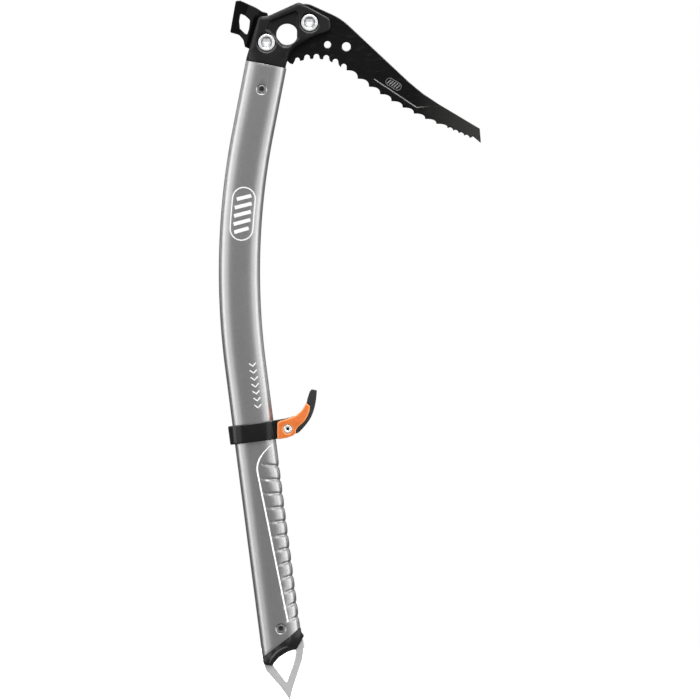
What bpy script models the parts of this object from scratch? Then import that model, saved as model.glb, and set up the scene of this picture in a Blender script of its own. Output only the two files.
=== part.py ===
"""Technical ice axe: bent tube shaft, forged head with bolted pick and hammer,
riveted spike, and a sliding hand rest locked by a cam lever.

Frame: metres, +Z up.  The origin is the centre of the carabiner eye in the head,
+X points to the pick and Y runs through the thickness of the tool.
"""
import math

import bmesh
import bpy
from mathutils import Matrix, Vector

MM = 0.001
GAP = 0.0003                     # play between pieces that touch

# Shaft: an oval tube that is straight, then bent on one radius, then straight
SHAFT_TOP = (-0.0156, -0.0225)   # x, z of the axis where the head sits on the tube
SHAFT_TOP_LEAN = 11.08           # degrees, towards +X going up
SHAFT_BEND = 18.456              # degrees turned between the two straight lengths
SHAFT_BEND_RADIUS = 0.5405
SHAFT_UPPER_LENGTH = 0.0516
SHAFT_LOWER_LENGTH = 0.2090      # to the middle of the slanted bottom end
SHAFT_LENGTH = (SHAFT_UPPER_LENGTH + math.radians(SHAFT_BEND) * SHAFT_BEND_RADIUS
                + SHAFT_LOWER_LENGTH)
SHAFT_HALF_WIDTH = 0.01542
SHAFT_HALF_THICKNESS = 0.0095
SHAFT_FULLNESS = 2.4             # 2 would be an ellipse; more is boxier
SHAFT_WALL = 0.0016
BOTTOM_SLANT = 0.587             # rise of the bottom end per length across the tube

# Finger grooves across the front of the grip
GROOVES = 12
GROOVE_PITCH = 0.01024
GROOVE_TOP = 0.3041              # distance of the first groove below the head joint
GROOVE_DEPTH = 0.0008
GRIP_INSET = 0.0002              # the whole grip front is pressed in this much
GROOVE_BACK = 0.0040             # grooves start this far in front of the axis
GROOVE_FULL = 0.0120             # and reach full depth this far in front of it

# Head
HEAD_HALF = 0.0095               # half thickness of the cheeks
HEAD_RIM_TOP = (0.0030, 0.0017)  # rounding of the rim along the top: width, depth
HEAD_RIM_LOW = (0.0050, 0.0050)  # and beside the tube
HEAD_RIM_FROM = 0.0090           # the rim changes from this height
HEAD_RIM_FADE = 0.0260           # over this much further down
# The neck opens out from the tube's oval: height above the joint, half width,
# half thickness and fullness of the section
HEAD_BLEND = ((-0.012, 0.0154, 0.0095, 2.4), (0.0, 0.0154, 0.0095, 2.4),
              (0.008, 0.0180, 0.0097, 2.9), (0.016, 0.0270, 0.0099, 4.0),
              (0.024, 0.0600, 0.0102, 8.0), (0.075, 0.0600, 0.0102, 8.0))
NOSE_START = 0.0095              # the cheeks thin down in front of this x
NOSE_SLOPE = 9.0                 # degrees on each side
TANG_LENGTH = 0.044              # the head's tang reaches this far into the tube
SLOT_HALF = 0.0023               # slot for the pick
LUG_HALF = 0.0043                # lugs of the hammer, between cheeks and pick
EYE_RADIUS = 0.00805
EYE_FRONT_FLAT = 0.00735
EYE_REAR_FLAT = 0.00775
EYE_REAR_ANGLE = 219.7           # direction of the lower rear flat, degrees
RECESS_FLOOR = 0.0063            # level of the sunk field round the eye
RECESS_MOUTH = 0.0102            # just proud of the cheek
RECESS_DRAFT = 0.0008            # the field is this much smaller at its floor
FRONT_BOLT = (0.0167, 0.0085)
REAR_BOLT = (-0.0153, -0.0063)
SLEEVE_RADIUS = 0.0040           # sleeve of the nut, in the bores of all pieces
BOLT_RADIUS = 0.0030
BOLT_HEAD_RADIUS = 0.00625
BOLT_POCKET_RADIUS = 0.00715
BOLT_DISH_RADIUS = 0.0040        # shallow dish in the top of each bolt head
BOLT_DISH_RIM = 0.0046
BOLT_DISH_DEPTH = 0.0004
BOLT_CHAMFER = 0.0006
BOLT_SOCKET_RADIUS = 0.0029      # across the corners of the hexagon
NUT_SOCKET_RADIUS = 0.0026
SOCKET_DEPTH = 0.0019
FRONT_POCKET_FLOOR = 0.0060
REAR_POCKET_FLOOR = 0.0071
BOLT_HEAD_HEIGHT = 0.0024

# Pick
PICK_HALF = 0.0020
NECK_TOOTH_DROP = 0.0014         # blunt teeth reach this far below the notch centres
NECK_TOOTH_SLOPE = 0.0005
FACET_DEPTH = 0.0004             # milled facet on each side of the blade
FACET_HEIGHT = 0.0075
LARGE_TEETH = 9
LARGE_TEETH_START = (0.0443, -0.0268)
LARGE_TEETH_END = (0.1197, -0.0700)
LARGE_TEETH_SAG = 0.0039
TOOTH_FULLNESS = 0.75            # below 1 the notch behind each point is squarer
FINE_TEETH = 4
FINE_TEETH_RISE = 0.0007         # their notches are also hollowed by this much
FINE_TEETH_END = (0.1361, -0.0774)
STRAP_HOLES = (((0.03015, -0.0076), 0.00255), ((0.0442, -0.0091), 0.00325))

# Hammer
HAMMER_HALF = 0.0095
HAMMER_LEAN = 17.2               # degrees, of the face that rests on the head
HAMMER_FOOT = (-0.0282, -0.0106) # x, z of the lower end of that face

# Rivets through the shaft
HEAD_RIVET = (-0.0190, -0.0411)
SPIKE_RIVET = (-0.0046, -0.4431)
RIVET_RADIUS = 0.0026
DIMPLE_RADIUS = 0.00425          # cone-shaped dimple in the tube round each rivet
DIMPLE_DEPTH = 0.0014

# Spike and the foot that holds it
SPIKE_HALF = 0.0020
FOOT_FLARE = 0.0018              # the foot stands this far proud of the grip's front

# Sliding hand rest
BAND_BELOW_JOINT = 0.2767        # centre of the band, along the shaft
BAND_HEIGHT = 0.0140
BAND_PLAY = 0.00045
BAND_WALL = 0.0025
BAND_REAR_WALL = 0.0030
PIVOT = (0.0005, -0.2944)
BOSS_HALF = 0.0085
CHEEK_INNER = 0.0088
CHEEK_OUTER = 0.0120
FORK_RADIUS = 0.0120
CAVITY_RADIUS = 0.0050
CAM_RADIUS = 0.0038
CAM_THROW = 0.0009
CAM_HALF = 0.0059
JOURNAL_RADIUS = 0.0029
SCREW_RADIUS = 0.00175
SCREW_HEAD_RADIUS = 0.00315


# ---------------------------------------------------------------- helpers

def clear_scene():
    for item in list(bpy.data.objects):
        bpy.data.objects.remove(item, do_unlink=True)


def material(name, colour, roughness, metallic):
    made = bpy.data.materials.new(name)
    made.use_nodes = True
    shader = made.node_tree.nodes["Principled BSDF"]
    shader.inputs["Base Color"].default_value = (*colour, 1.0)
    shader.inputs["Roughness"].default_value = roughness
    shader.inputs["Metallic"].default_value = metallic
    return made


def mm(*points):
    """Points given in millimetres, returned in metres."""
    return [tuple(value * MM for value in point) for point in points]


def rounded(corners, step=15.0):
    """Outline through (x, z, radius) corners, each corner rounded with an arc."""
    outline = []
    count = len(corners)
    for index, (x, z, radius) in enumerate(corners):
        corner = Vector((x, z))
        back = Vector(corners[index - 1][:2]) - corner
        ahead = Vector(corners[(index + 1) % count][:2]) - corner
        turn = math.pi - back.angle(ahead)
        if radius <= 0.0 or turn < 0.01:
            outline.append((x, z))
            continue
        reach = radius * math.tan(turn / 2)
        reach = min(reach, 0.49 * back.length, 0.49 * ahead.length)
        radius = reach / math.tan(turn / 2)
        start = corner + back.normalized() * reach
        end = corner + ahead.normalized() * reach
        middle = (back.normalized() + ahead.normalized()).normalized()
        centre = corner + middle * (radius / math.cos(turn / 2))
        steps = max(2, math.ceil(math.degrees(turn) / step))
        first = start - centre
        sweep = first.angle_signed(end - centre)
        for number in range(steps + 1):
            angle = -sweep * number / steps
            cosine, sine = math.cos(angle), math.sin(angle)
            outline.append((centre.x + first.x * cosine - first.y * sine,
                            centre.y + first.x * sine + first.y * cosine))
    return outline


def smooth(points, pieces=4):
    """Curve through the points (Catmull-Rom), with the ends as given."""
    path = [Vector(point) for point in points]
    path = [2 * path[0] - path[1]] + path + [2 * path[-1] - path[-2]]
    curve = []
    for a, b, c, d in zip(path, path[1:], path[2:], path[3:]):
        for number in range(pieces):
            t = number / pieces
            curve.append(tuple(0.5 * (2 * b + (c - a) * t
                                      + (2 * a - 5 * b + 4 * c - d) * t ** 2
                                      + (3 * b - a - 3 * c + d) * t ** 3)))
    curve.append(tuple(path[-2]))
    return curve


def circle(centre, radius, count=32):
    angles = [2 * math.pi * number / count for number in range(count)]
    return [(centre[0] + radius * math.cos(a), centre[1] + radius * math.sin(a))
            for a in angles]


def finish(work, name, surface=None, at=(0, 0, 0), turn=0.0, sharp=35.0):
    """Turn a bmesh into a named object standing at its own origin."""
    bmesh.ops.recalc_face_normals(work, faces=work.faces)
    mesh = bpy.data.meshes.new(name)
    work.to_mesh(mesh)
    work.free()
    mesh.shade_smooth()
    mesh.set_sharp_from_angle(angle=math.radians(sharp))
    made = bpy.data.objects.new(name, mesh)
    made.location = at
    made.rotation_euler = (0.0, math.radians(turn), 0.0)
    bpy.context.scene.collection.objects.link(made)
    if surface:
        mesh.materials.append(surface)
    return made


def stack(layers):
    """Closed solid through layers of points, each layer a ring of equal count."""
    work = bmesh.new()
    rings = [[work.verts.new(point) for point in layer] for layer in layers]
    work.faces.new(rings[0])
    work.faces.new(rings[-1])
    for lower, upper in zip(rings, rings[1:]):
        for index, vertex in enumerate(lower):
            work.faces.new((lower[index - 1], vertex, upper[index], upper[index - 1]))
    return work


def plate(outline, near, far):
    """Flat plate of the XZ outline between two Y values."""
    return stack([[(x, y, z) for x, z in outline] for y in (near, far)])


def chamfered_plate(outline, half, chamfer):
    """Plate centred on Y = 0 whose rim is chamfered on both sides."""
    inner = inset(outline, [chamfer] * len(outline))
    heights = ((inner, -half), (outline, chamfer - half),
               (outline, half - chamfer), (inner, half))
    return stack([[(x, y, z) for x, z in ring] for ring, y in heights])


def inset(outline, distances):
    """Outline moved inwards along each corner's own normal."""
    area = sum(a[0] * b[1] - b[0] * a[1] for a, b in zip(outline, outline[1:]))
    side = 1.0 if area > 0 else -1.0
    moved = []
    for index, point in enumerate(outline):
        here = Vector(point)
        before = (here - Vector(outline[index - 1])).normalized()
        after = (Vector(outline[(index + 1) % len(outline)]) - here).normalized()
        along = (before + after).normalized()
        stretch = max(0.5, along.dot(before))
        normal = Vector((-along.y, along.x)) * side
        moved.append(tuple(here + normal * (distances[index] / stretch)))
    return moved


def turned(profile, steps=24):
    """Solid of revolution about Y from (radius, y) points that start and end at 0."""
    work = bmesh.new()
    verts = [work.verts.new((radius, y, 0.0)) for radius, y in profile]
    edges = [work.edges.new(pair) for pair in zip(verts, verts[1:])]
    bmesh.ops.spin(work, geom=verts + edges, axis=(0, 1, 0), cent=(0, 0, 0),
                   steps=steps, angle=2 * math.pi, use_merge=True)
    bmesh.ops.remove_doubles(work, verts=work.verts, dist=1e-6)
    return work


def combine(target, other, operation):
    """Boolean with a helper object that is not part of the model."""
    other.hide_render = True
    other.display_type = "WIRE"
    made = target.modifiers.new(other.name, "BOOLEAN")
    made.operation = operation
    made.object = other
    made.solver = "EXACT"


def cut(target, *others):
    for other in others:
        combine(target, other, "DIFFERENCE")


def add(target, other):
    combine(target, other, "UNION")


def guide(work, name, at=(0, 0, 0), turn=0.0):
    """Helper solid used only to cut or extend other pieces."""
    return finish(work, "guide_" + name, None, at, turn)


# ---------------------------------------------------------------- shaft axis

def station(down):
    """Axis point and lean in degrees at a distance below the head joint."""
    x, z = SHAFT_TOP
    lean = math.radians(SHAFT_TOP_LEAN)
    first = min(down, SHAFT_UPPER_LENGTH)
    x -= math.sin(lean) * first
    z -= math.cos(lean) * first
    bend = math.radians(SHAFT_BEND)
    turned_by = min(max(down - first, 0.0) / SHAFT_BEND_RADIUS, bend)
    x += SHAFT_BEND_RADIUS * (math.cos(lean) - math.cos(lean - turned_by))
    z -= SHAFT_BEND_RADIUS * (math.sin(lean) - math.sin(lean - turned_by))
    rest = down - first - turned_by * SHAFT_BEND_RADIUS
    lean -= turned_by
    x -= math.sin(lean) * rest
    z -= math.cos(lean) * rest
    return Vector((x, 0.0, z)), math.degrees(lean)


def place(down, across, y):
    """Point beside the axis: across runs towards the pick side."""
    point, lean = station(down)
    angle = math.radians(lean)
    return (point.x + math.cos(angle) * across, y, point.z - math.sin(angle) * across)


def superellipse(half_width, half_thickness, fullness, count):
    """Oval ring of (across, y) points, counter-clockwise from the front."""
    ring = []
    for number in range(count):
        angle = 2 * math.pi * number / count
        ring.append(tuple(
            half * math.copysign(abs(value) ** (2 / fullness), value)
            for half, value in ((half_width, math.cos(angle)),
                                (half_thickness, math.sin(angle)))))
    return ring


def oval(outward=0.0, count=28):
    """Section of the tube as (across, y) points, grown outward by a distance."""
    ring = superellipse(SHAFT_HALF_WIDTH, SHAFT_HALF_THICKNESS, SHAFT_FULLNESS, count)
    return inset(ring, [-outward] * count) if outward else ring


def groove(down, across):
    """How far the grip surface is pressed in at a point of the section."""
    position = (down - GROOVE_TOP) / GROOVE_PITCH
    fade = min(max((across - GROOVE_BACK) / (GROOVE_FULL - GROOVE_BACK), 0.0), 1.0)
    if not -0.5 < position < GROOVES - 0.5:
        return 0.0
    shape = (0.5 + 0.5 * math.cos(2 * math.pi * position)) ** 3
    return fade * fade * (3 - 2 * fade) * (GRIP_INSET + GROOVE_DEPTH * shape)


def tube_ring(down, section, slant, pressed):
    """One ring of the tube; slant tilts it towards the angle of the bottom end."""
    ring = []
    for index, (across, y) in enumerate(section):
        if pressed:
            before = Vector(section[index - 1])
            after = Vector(section[(index + 1) % len(section)])
            along = (after - before).normalized()
            depth = groove(down, across)
            across -= along.y * depth
            y += along.x * depth
        ring.append(place(down - slant * BOTTOM_SLANT * across, across, y))
    return ring


def build_shaft(surface):
    """Tube with the finger grooves pressed into its front."""
    outer = oval()
    inner = oval(-SHAFT_WALL)
    bend_rows = [SHAFT_UPPER_LENGTH + number / 11 * SHAFT_BEND_RADIUS
                 * math.radians(SHAFT_BEND) for number in range(12)]
    grip_rows = [GROOVE_TOP + GROOVE_PITCH * (number + part)
                 for number in range(GROOVES)
                 for part in (-0.46, -0.16, 0.0, 0.16)]
    tail = GROOVE_TOP + (GROOVES - 0.5) * GROOVE_PITCH
    rows = [(GAP, 0.0)] + [(row, 0.0) for row in bend_rows + grip_rows]
    rows += [(tail, 0.0), ((tail + SHAFT_LENGTH) / 2, 0.5), (SHAFT_LENGTH, 1.0)]
    inner_rows = [(GAP, 0.0)] + [(row, 0.0) for row in bend_rows]
    inner_rows += [(tail, 0.0), (SHAFT_LENGTH, 1.0)]
    work = bmesh.new()
    rings = [tube_ring(row, outer, slant, True) for row, slant in rows]
    rings += [tube_ring(row, inner, slant, False) for row, slant in inner_rows[::-1]]
    made = [[work.verts.new(point) for point in ring] for ring in rings]
    for lower, upper in zip(made, made[1:] + made[:1]):
        for index, vertex in enumerate(lower):
            work.faces.new((lower[index - 1], vertex, upper[index], upper[index - 1]))
    return finish(work, "shaft", surface, sharp=28.0)


def rivet_guide(name, centre):
    """Rivet hole with a cone-shaped dimple at each face of the tube."""
    bore = RIVET_RADIUS + GAP
    beyond = 0.003
    wide = DIMPLE_RADIUS + beyond * (DIMPLE_RADIUS - bore) / DIMPLE_DEPTH
    outside = SHAFT_HALF_THICKNESS + beyond
    bottom = SHAFT_HALF_THICKNESS - DIMPLE_DEPTH
    profile = [(0, -outside), (wide, -outside), (bore, -bottom),
               (bore, bottom), (wide, outside), (0, outside)]
    return guide(turned(profile), name, (centre[0], 0.0, centre[1]))


def build_rivet(name, centre, surface):
    flare = 0.00315
    face = SHAFT_HALF_THICKNESS - 0.0008
    neck = SHAFT_HALF_THICKNESS - 0.0016
    dish = 0.0018
    sink = 0.0004
    half = [(flare, face), (dish, face), (dish * 0.7, face - sink), (0, face - sink)]
    profile = [(radius, -y) for radius, y in half[::-1]]
    profile += [(RIVET_RADIUS, -neck), (RIVET_RADIUS, neck)] + half
    return finish(turned(profile), name, surface, (centre[0], 0.0, centre[1]))


# ---------------------------------------------------------------- head

def head_outline():
    """Side view of the forged cheeks, carried on below the joint with the tube."""
    low_rear = place(0.010, -SHAFT_HALF_WIDTH, 0.0)
    low_front = place(0.010, SHAFT_HALF_WIDTH, 0.0)
    corners = [(low_rear[0], low_rear[2], 0.0)]
    corners += mm((-30.2, -17.0, 30.0), (-21.1, 12.9, 3.4), (-14.2, 13.5, 2.0),
                  (8.8, 23.9, 3.2), (31.4, 11.7, 4.0), (33.0, 3.2, 4.5),
                  (20.5, -1.1, 25.0), (2.9, -11.6, 16.0), (-0.9, -23.0, 12.0))
    corners += [(low_front[0], low_front[2], 0.0)]
    return rounded(corners)


def rim_size(z):
    """Width and depth of the rim's rounding: shallow on top, fuller by the tube."""
    share = min(max((HEAD_RIM_FROM - z) / HEAD_RIM_FADE, 0.0), 1.0)
    return [top + (low - top) * share for top, low in zip(HEAD_RIM_TOP, HEAD_RIM_LOW)]


def head_blank():
    outline = head_outline()
    rims = [rim_size(z) for x, z in outline]
    layers = []
    angles = [number * 22.5 for number in range(5)]
    for side in (-1, 1):
        half_layers = []
        for angle in angles:
            turn = math.radians(angle)
            ring = inset(outline, [width * (1 - math.cos(turn)) for width, depth in rims])
            half_layers.append([(x, side * (HEAD_HALF - depth + depth * math.sin(turn)), z)
                                for (x, z), (width, depth) in zip(ring, rims)])
        layers += half_layers[::-1] if side < 0 else half_layers
    return stack(layers)


def head_envelope():
    """Solid that is the oval of the tube at the joint and opens out above it."""
    return stack([[place(-rise, across, y) for across, y in
                   superellipse(width, thickness, fullness, 40)]
                  for rise, width, thickness, fullness in HEAD_BLEND])


def trim(work, point, normal):
    """Cut away everything on the side the normal points to and close the cut."""
    geometry = work.verts[:] + work.edges[:] + work.faces[:]
    bmesh.ops.bisect_plane(work, geom=geometry, plane_co=point, plane_no=normal,
                           clear_outer=True, dist=1e-7)
    rim = [edge for edge in work.edges if edge.is_boundary]
    bmesh.ops.contextual_create(work, geom=rim)


def eye_outline(extra=0.0, count=36):
    """Carabiner eye: a circle with a flat to the front and one to the lower rear."""
    points = []
    for number in range(count):
        angle = 2 * math.pi * number / count
        radius = EYE_RADIUS
        front = math.cos(angle)
        rear = math.cos(angle - math.radians(EYE_REAR_ANGLE))
        if front > 0:
            radius = min(radius, EYE_FRONT_FLAT / front)
        if rear > 0:
            radius = min(radius, EYE_REAR_FLAT / rear)
        points.append(((radius + extra) * math.cos(angle),
                       (radius + extra) * math.sin(angle)))
    return points


def tail_outline(extra=0.0):
    """Hidden rear part of the pick that fills the slot between the cheeks."""
    corners = mm((40.0, 30.0, 0.0), (8.0, 22.8, 3.0), (-13.0, 12.4, 4.0),
                 (-22.6, -1.0, 7.0), (-22.6, -12.0, 5.0), (-3.0, -16.4, 6.0),
                 (2.4, -21.9, 0.0), (40.0, -24.0, 0.0))
    outline = rounded(corners)
    return inset(outline, [-extra] * len(outline)) if extra else outline


def lug_corners():
    return mm((-28.6, -10.6, 1.5), (-20.5, -13.8, 5.0), (-9.6, -12.6, 5.5),
              (-8.4, -3.0, 5.0), (-12.6, 6.0, 6.0), (-14.6, 15.9, 1.2))


def hammer_outline(extra=0.0):
    """Side view of the hammer with the two lugs that reach into the head."""
    corners = lug_corners()
    corners += mm((-18.6, 17.0, 1.0), (-22.6, 19.5, 0.6), (-34.9, 25.2, 1.2),
                  (-38.3, 24.6, 0.7), (-42.4, 1.5, 0.7), (-35.8, -0.2, 5.0),
                  (-32.6, -4.2, 4.0), (-31.6, -9.2, 1.2))
    outline = rounded(corners)
    return inset(outline, [-extra] * len(outline)) if extra else outline


def sleeve_guide(name, centre, radius, near, far):
    outline = circle((0, 0), radius, 24)
    return guide(plate(outline, near, far), name, (centre[0], 0.0, centre[1]))


def tang():
    """Part of the head inside the tube, with a short taper at its lower end."""
    section = oval(-SHAFT_WALL - GAP)
    taper = 0.94
    levels = ((-0.004, 1.0), (TANG_LENGTH - 0.002, 1.0), (TANG_LENGTH, taper))
    return stack([[place(down, across * size, y * size) for across, y in section]
                  for down, size in levels])


def build_head(surface, rivet_hole):
    blank = head_blank()
    joint, lean = station(0.0)
    angle = math.radians(lean)
    trim(blank, joint, (-math.sin(angle), 0.0, -math.cos(angle)))
    slope = math.radians(NOSE_SLOPE)
    for side in (-1, 1):
        normal = (math.sin(slope), side * math.cos(slope), 0.0)
        trim(blank, (NOSE_START, side * HEAD_HALF, 0.0), normal)
    head = finish(blank, "head_body", surface, sharp=40.0)
    combine(head, guide(head_envelope(), "envelope"), "INTERSECT")
    add(head, guide(tang(), "tang"))
    wide = 0.02
    cut(head,
        guide(plate(tail_outline(GAP), -SLOT_HALF, SLOT_HALF), "pick_slot"),
        guide(plate(hammer_outline(GAP), -LUG_HALF - GAP, LUG_HALF + GAP), "lug_slot"),
        guide(plate(eye_outline(), -wide, wide), "eye"))
    recess = rounded(mm((-15.9, 3.4, 1.5), (-12.6, 9.6, 1.5), (6.6, 17.4, 1.5),
                        (8.6, 14.6, 1.5), (8.6, -3.6, 1.5), (1.2, -9.8, 1.5),
                        (-3.4, -9.4, 1.5)))
    floor = inset(recess, [RECESS_DRAFT] * len(recess))
    top = inset(recess, [-RECESS_DRAFT / 2] * len(recess))
    for side in (-1, 1):
        layers = [[(x, side * RECESS_FLOOR, z) for x, z in floor],
                  [(x, side * RECESS_MOUTH, z) for x, z in top]]
        cut(head, guide(stack(layers), "recess"))
        for name, centre, depth in (("front", FRONT_BOLT, FRONT_POCKET_FLOOR),
                                    ("rear", REAR_BOLT, REAR_POCKET_FLOOR)):
            ends = sorted((side * depth, side * wide))
            cut(head, sleeve_guide(name + "_pocket", centre, BOLT_POCKET_RADIUS, *ends))
    for name, centre in (("front", FRONT_BOLT), ("rear", REAR_BOLT)):
        cut(head, sleeve_guide(name + "_bore", centre, SLEEVE_RADIUS + GAP, -wide, wide))
    cut(head, rivet_hole)
    return head


def gullets():
    """Round notches along the neck of the pick, from the shaft outwards."""
    return mm((7.7, -19.1, 1.8), (14.9, -17.2, 2.1), (21.9, -16.8, 2.2),
              (29.2, -17.6, 2.2), (36.0, -20.3, 2.1), (42.3, -24.0, 2.1))


def neck_teeth():
    """Lower edge of the neck: blunt teeth between round notches."""
    notches = gullets()
    edge = []
    for index, (x, z, radius) in enumerate(notches):
        for number in range(7):
            angle = math.radians(190 - 200 * number / 6)
            edge.append((x + radius * math.cos(angle), z + radius * math.sin(angle)))
        if index + 1 < len(notches):
            next_x, next_z, next_radius = notches[index + 1]
            tip_z = (z + next_z) / 2 - NECK_TOOTH_DROP
            edge.append((x + radius + NECK_TOOTH_SLOPE, tip_z + (z - next_z) / 6))
            edge.append((next_x - next_radius - NECK_TOOTH_SLOPE,
                         tip_z - (z - next_z) / 6))
    return edge


def hooked_teeth():
    """Large then fine hooked teeth; each runs level, then curves down to a point."""
    points = []
    for number in range(LARGE_TEETH + 1):
        share = number / LARGE_TEETH
        x = LARGE_TEETH_START[0] + share * (LARGE_TEETH_END[0] - LARGE_TEETH_START[0])
        z = LARGE_TEETH_START[1] + share * (LARGE_TEETH_END[1] - LARGE_TEETH_START[1])
        points.append((x, z - 4 * LARGE_TEETH_SAG * share * (1 - share)))
    for number in range(1, FINE_TEETH + 1):
        share = number / FINE_TEETH
        points.append((LARGE_TEETH_END[0] + share * (FINE_TEETH_END[0]
                                                     - LARGE_TEETH_END[0]),
                       LARGE_TEETH_END[1] + share * (FINE_TEETH_END[1]
                                                     - LARGE_TEETH_END[1])))
    edge = []
    for tooth, ((x0, z0), (x1, z1)) in enumerate(zip(points, points[1:])):
        rise = FINE_TEETH_RISE if tooth >= LARGE_TEETH else 0.0
        edge.append((x0, z0))
        for number in range(1, 6):
            angle = math.pi / 2 * number / 6
            across = math.sin(angle) ** TOOTH_FULLNESS
            down = 1 - math.cos(angle) ** TOOTH_FULLNESS
            edge.append((x0 + (x1 - x0) * across,
                         z0 + (z1 - z0) * down + rise * math.sin(math.pi * across)))
    edge.append(points[-1])
    return edge


def pick_outline():
    spine = rounded(mm((143.7, -70.4, 0.0), (101.0, -44.9, 130.0), (40.5, 11.8, 45.0),
                       (16.5, 22.7, 10.0), (8.4, 22.9, 2.0), (-13.0, 12.4, 4.0),
                       (-22.6, -1.0, 7.0), (-22.6, -12.0, 5.0), (-3.0, -16.4, 6.0),
                       (1.9, -21.6, 0.0), (4.2, -22.4, 0.0)), 9.0)
    tip = mm((138.7, -76.2), (144.2, -80.9), (144.5, -80.3))
    return neck_teeth() + hooked_teeth() + tip + spine


def build_pick(surface):
    pick = finish(plate(pick_outline(), -PICK_HALF, PICK_HALF), "pick", surface)
    wide = 0.01
    cut(pick, guide(plate(eye_outline(0.0004), -wide, wide), "pick_eye"))
    for number, (centre, radius) in enumerate(STRAP_HOLES):
        cut(pick, sleeve_guide("strap_hole_%d" % number, centre, radius, -wide, wide))
    for centre in (FRONT_BOLT, REAR_BOLT):
        cut(pick, sleeve_guide("pick_bore", centre, SLEEVE_RADIUS + GAP, -wide, wide))
    for side in (-1, 1):
        cut(pick, guide(blade_facet(side), "blade_facet"))
    return pick


def blade_facet(side):
    """Cutter that thins the blade: deepest along its lower line, nothing at the top."""
    lower = rounded(mm((64.6, -33.2, 0.8), (96.6, -54.6, 3.0), (107.5, -53.6, 0.5),
                       (103.6, -46.6, 1.0), (71.0, -24.0, 2.0)))
    along = Vector((0.828, -0.560))
    up = Vector((-along.y, along.x))
    start = Vector(mm((64.6, -33.2))[0])
    floor = []
    for x, z in lower:
        rise = (Vector((x, z)) - start).dot(up)
        depth = FACET_DEPTH * max(1 - rise / FACET_HEIGHT, -0.2)
        floor.append((x, side * (PICK_HALF - depth), z))
    return stack([floor, [(x, side * 0.004, z) for x, z in lower]])


def build_hammer(surface):
    """Full width at the striking end, waisted down to the two lugs."""
    blank = finish(plate(hammer_outline(), -HAMMER_HALF, HAMMER_HALF), "hammer", surface)
    lean = math.radians(HAMMER_LEAN)
    foot = Vector((HAMMER_FOOT[0], 0.0, HAMMER_FOOT[1]))
    ahead = Vector((math.cos(lean), 0.0, -math.sin(lean)))
    upward = Vector((math.sin(lean), 0.0, math.cos(lean)))
    shape = mm((-30.0, 8.9), (-10.0, 9.2), (-0.9, LUG_HALF / MM), (30.0, LUG_HALF / MM))
    shape += [(along, -y) for along, y in shape[::-1]]
    rings = []
    for rise in (-0.02, 0.06):
        base = foot + upward * rise
        rings.append([tuple(base + ahead * along + Vector((0, y, 0)))
                      for along, y in shape])
    combine(blank, guide(stack(rings), "hammer_waist"), "INTERSECT")
    window = rounded(mm((-34.9, 15.6, 0.8), (-31.2, 14.0, 3.0), (-27.6, 10.6, 3.0),
                        (-28.4, 4.0, 4.0), (-29.6, 0.2, 0.8), (-31.0, 0.1, 0.8),
                        (-35.2, 4.2, 1.0), (-35.8, 10.0, 4.0)))
    wide = 0.02
    cut(blank, guide(plate(window, -wide, wide), "hammer_window"),
        guide(plate(tail_outline(GAP), -SLOT_HALF, SLOT_HALF), "hammer_slot"),
        sleeve_guide("hammer_bore", REAR_BOLT, SLEEVE_RADIUS + GAP, -wide, wide))
    return blank


def build_bolt(name, centre, floor, surface):
    """Socket-headed bolt; its head sits in the near cheek, at negative Y."""
    under = -floor - GAP
    top = under - BOLT_HEAD_HEIGHT
    rim = BOLT_HEAD_RADIUS
    end = floor - 0.0006
    dish = top + BOLT_DISH_DEPTH
    profile = [(0, dish), (BOLT_DISH_RADIUS, dish), (BOLT_DISH_RIM, top),
               (rim - BOLT_CHAMFER, top), (rim, top + BOLT_CHAMFER), (rim, under),
               (BOLT_RADIUS, under), (BOLT_RADIUS, end), (0, end)]
    bolt = finish(turned(profile), name, surface, (centre[0], 0.0, centre[1]))
    socket = circle((0, 0), BOLT_SOCKET_RADIUS, 6)
    cut(bolt, guide(plate(socket, top - 0.001, top + SOCKET_DEPTH), name + "_socket",
                    (centre[0], 0.0, centre[1])))
    return bolt


def build_sleeve_nut(name, centre, floor, surface):
    """Flanged sleeve nut whose head sits in the far cheek."""
    under = floor + GAP
    top = under + BOLT_HEAD_HEIGHT
    rim = BOLT_HEAD_RADIUS
    bore = BOLT_RADIUS + GAP
    dish = top - BOLT_DISH_DEPTH
    profile = [(0, floor), (bore, floor), (bore, -floor + GAP),
               (SLEEVE_RADIUS, -floor + GAP), (SLEEVE_RADIUS, under), (rim, under),
               (rim, top - BOLT_CHAMFER), (rim - BOLT_CHAMFER, top),
               (BOLT_DISH_RIM, top), (BOLT_DISH_RADIUS, dish), (0, dish)]
    nut = finish(turned(profile), name, surface, (centre[0], 0.0, centre[1]))
    socket = circle((0, 0), NUT_SOCKET_RADIUS, 6)
    cut(nut, guide(plate(socket, top - SOCKET_DEPTH, top + 0.001), name + "_socket",
                   (centre[0], 0.0, centre[1])))
    return nut


# ---------------------------------------------------------------- spike end

def spike_outline(extra=0.0):
    """Blade below, hidden tang above; the sides of the blade bow outwards."""
    corners = mm((1.9, -497.4, 0.5), (4.4, -487.0, 30.0), (11.4, -465.8, 25.0),
                 (12.7, -456.0, 12.0), (12.0, -451.6, 0.8), (8.2, -449.6, 1.0),
                 (3.4, -446.0, 1.0), (1.0, -434.0, 1.5), (-13.4, -436.0, 1.5),
                 (-12.2, -459.6, 1.0), (-17.4, -465.2, 0.8), (-18.4, -467.2, 2.0),
                 (-15.3, -474.9, 3.0), (-4.6, -486.9, 30.0), (0.9, -494.8, 4.0))
    outline = rounded(corners)
    return inset(outline, [-extra] * len(outline)) if extra else outline


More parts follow.
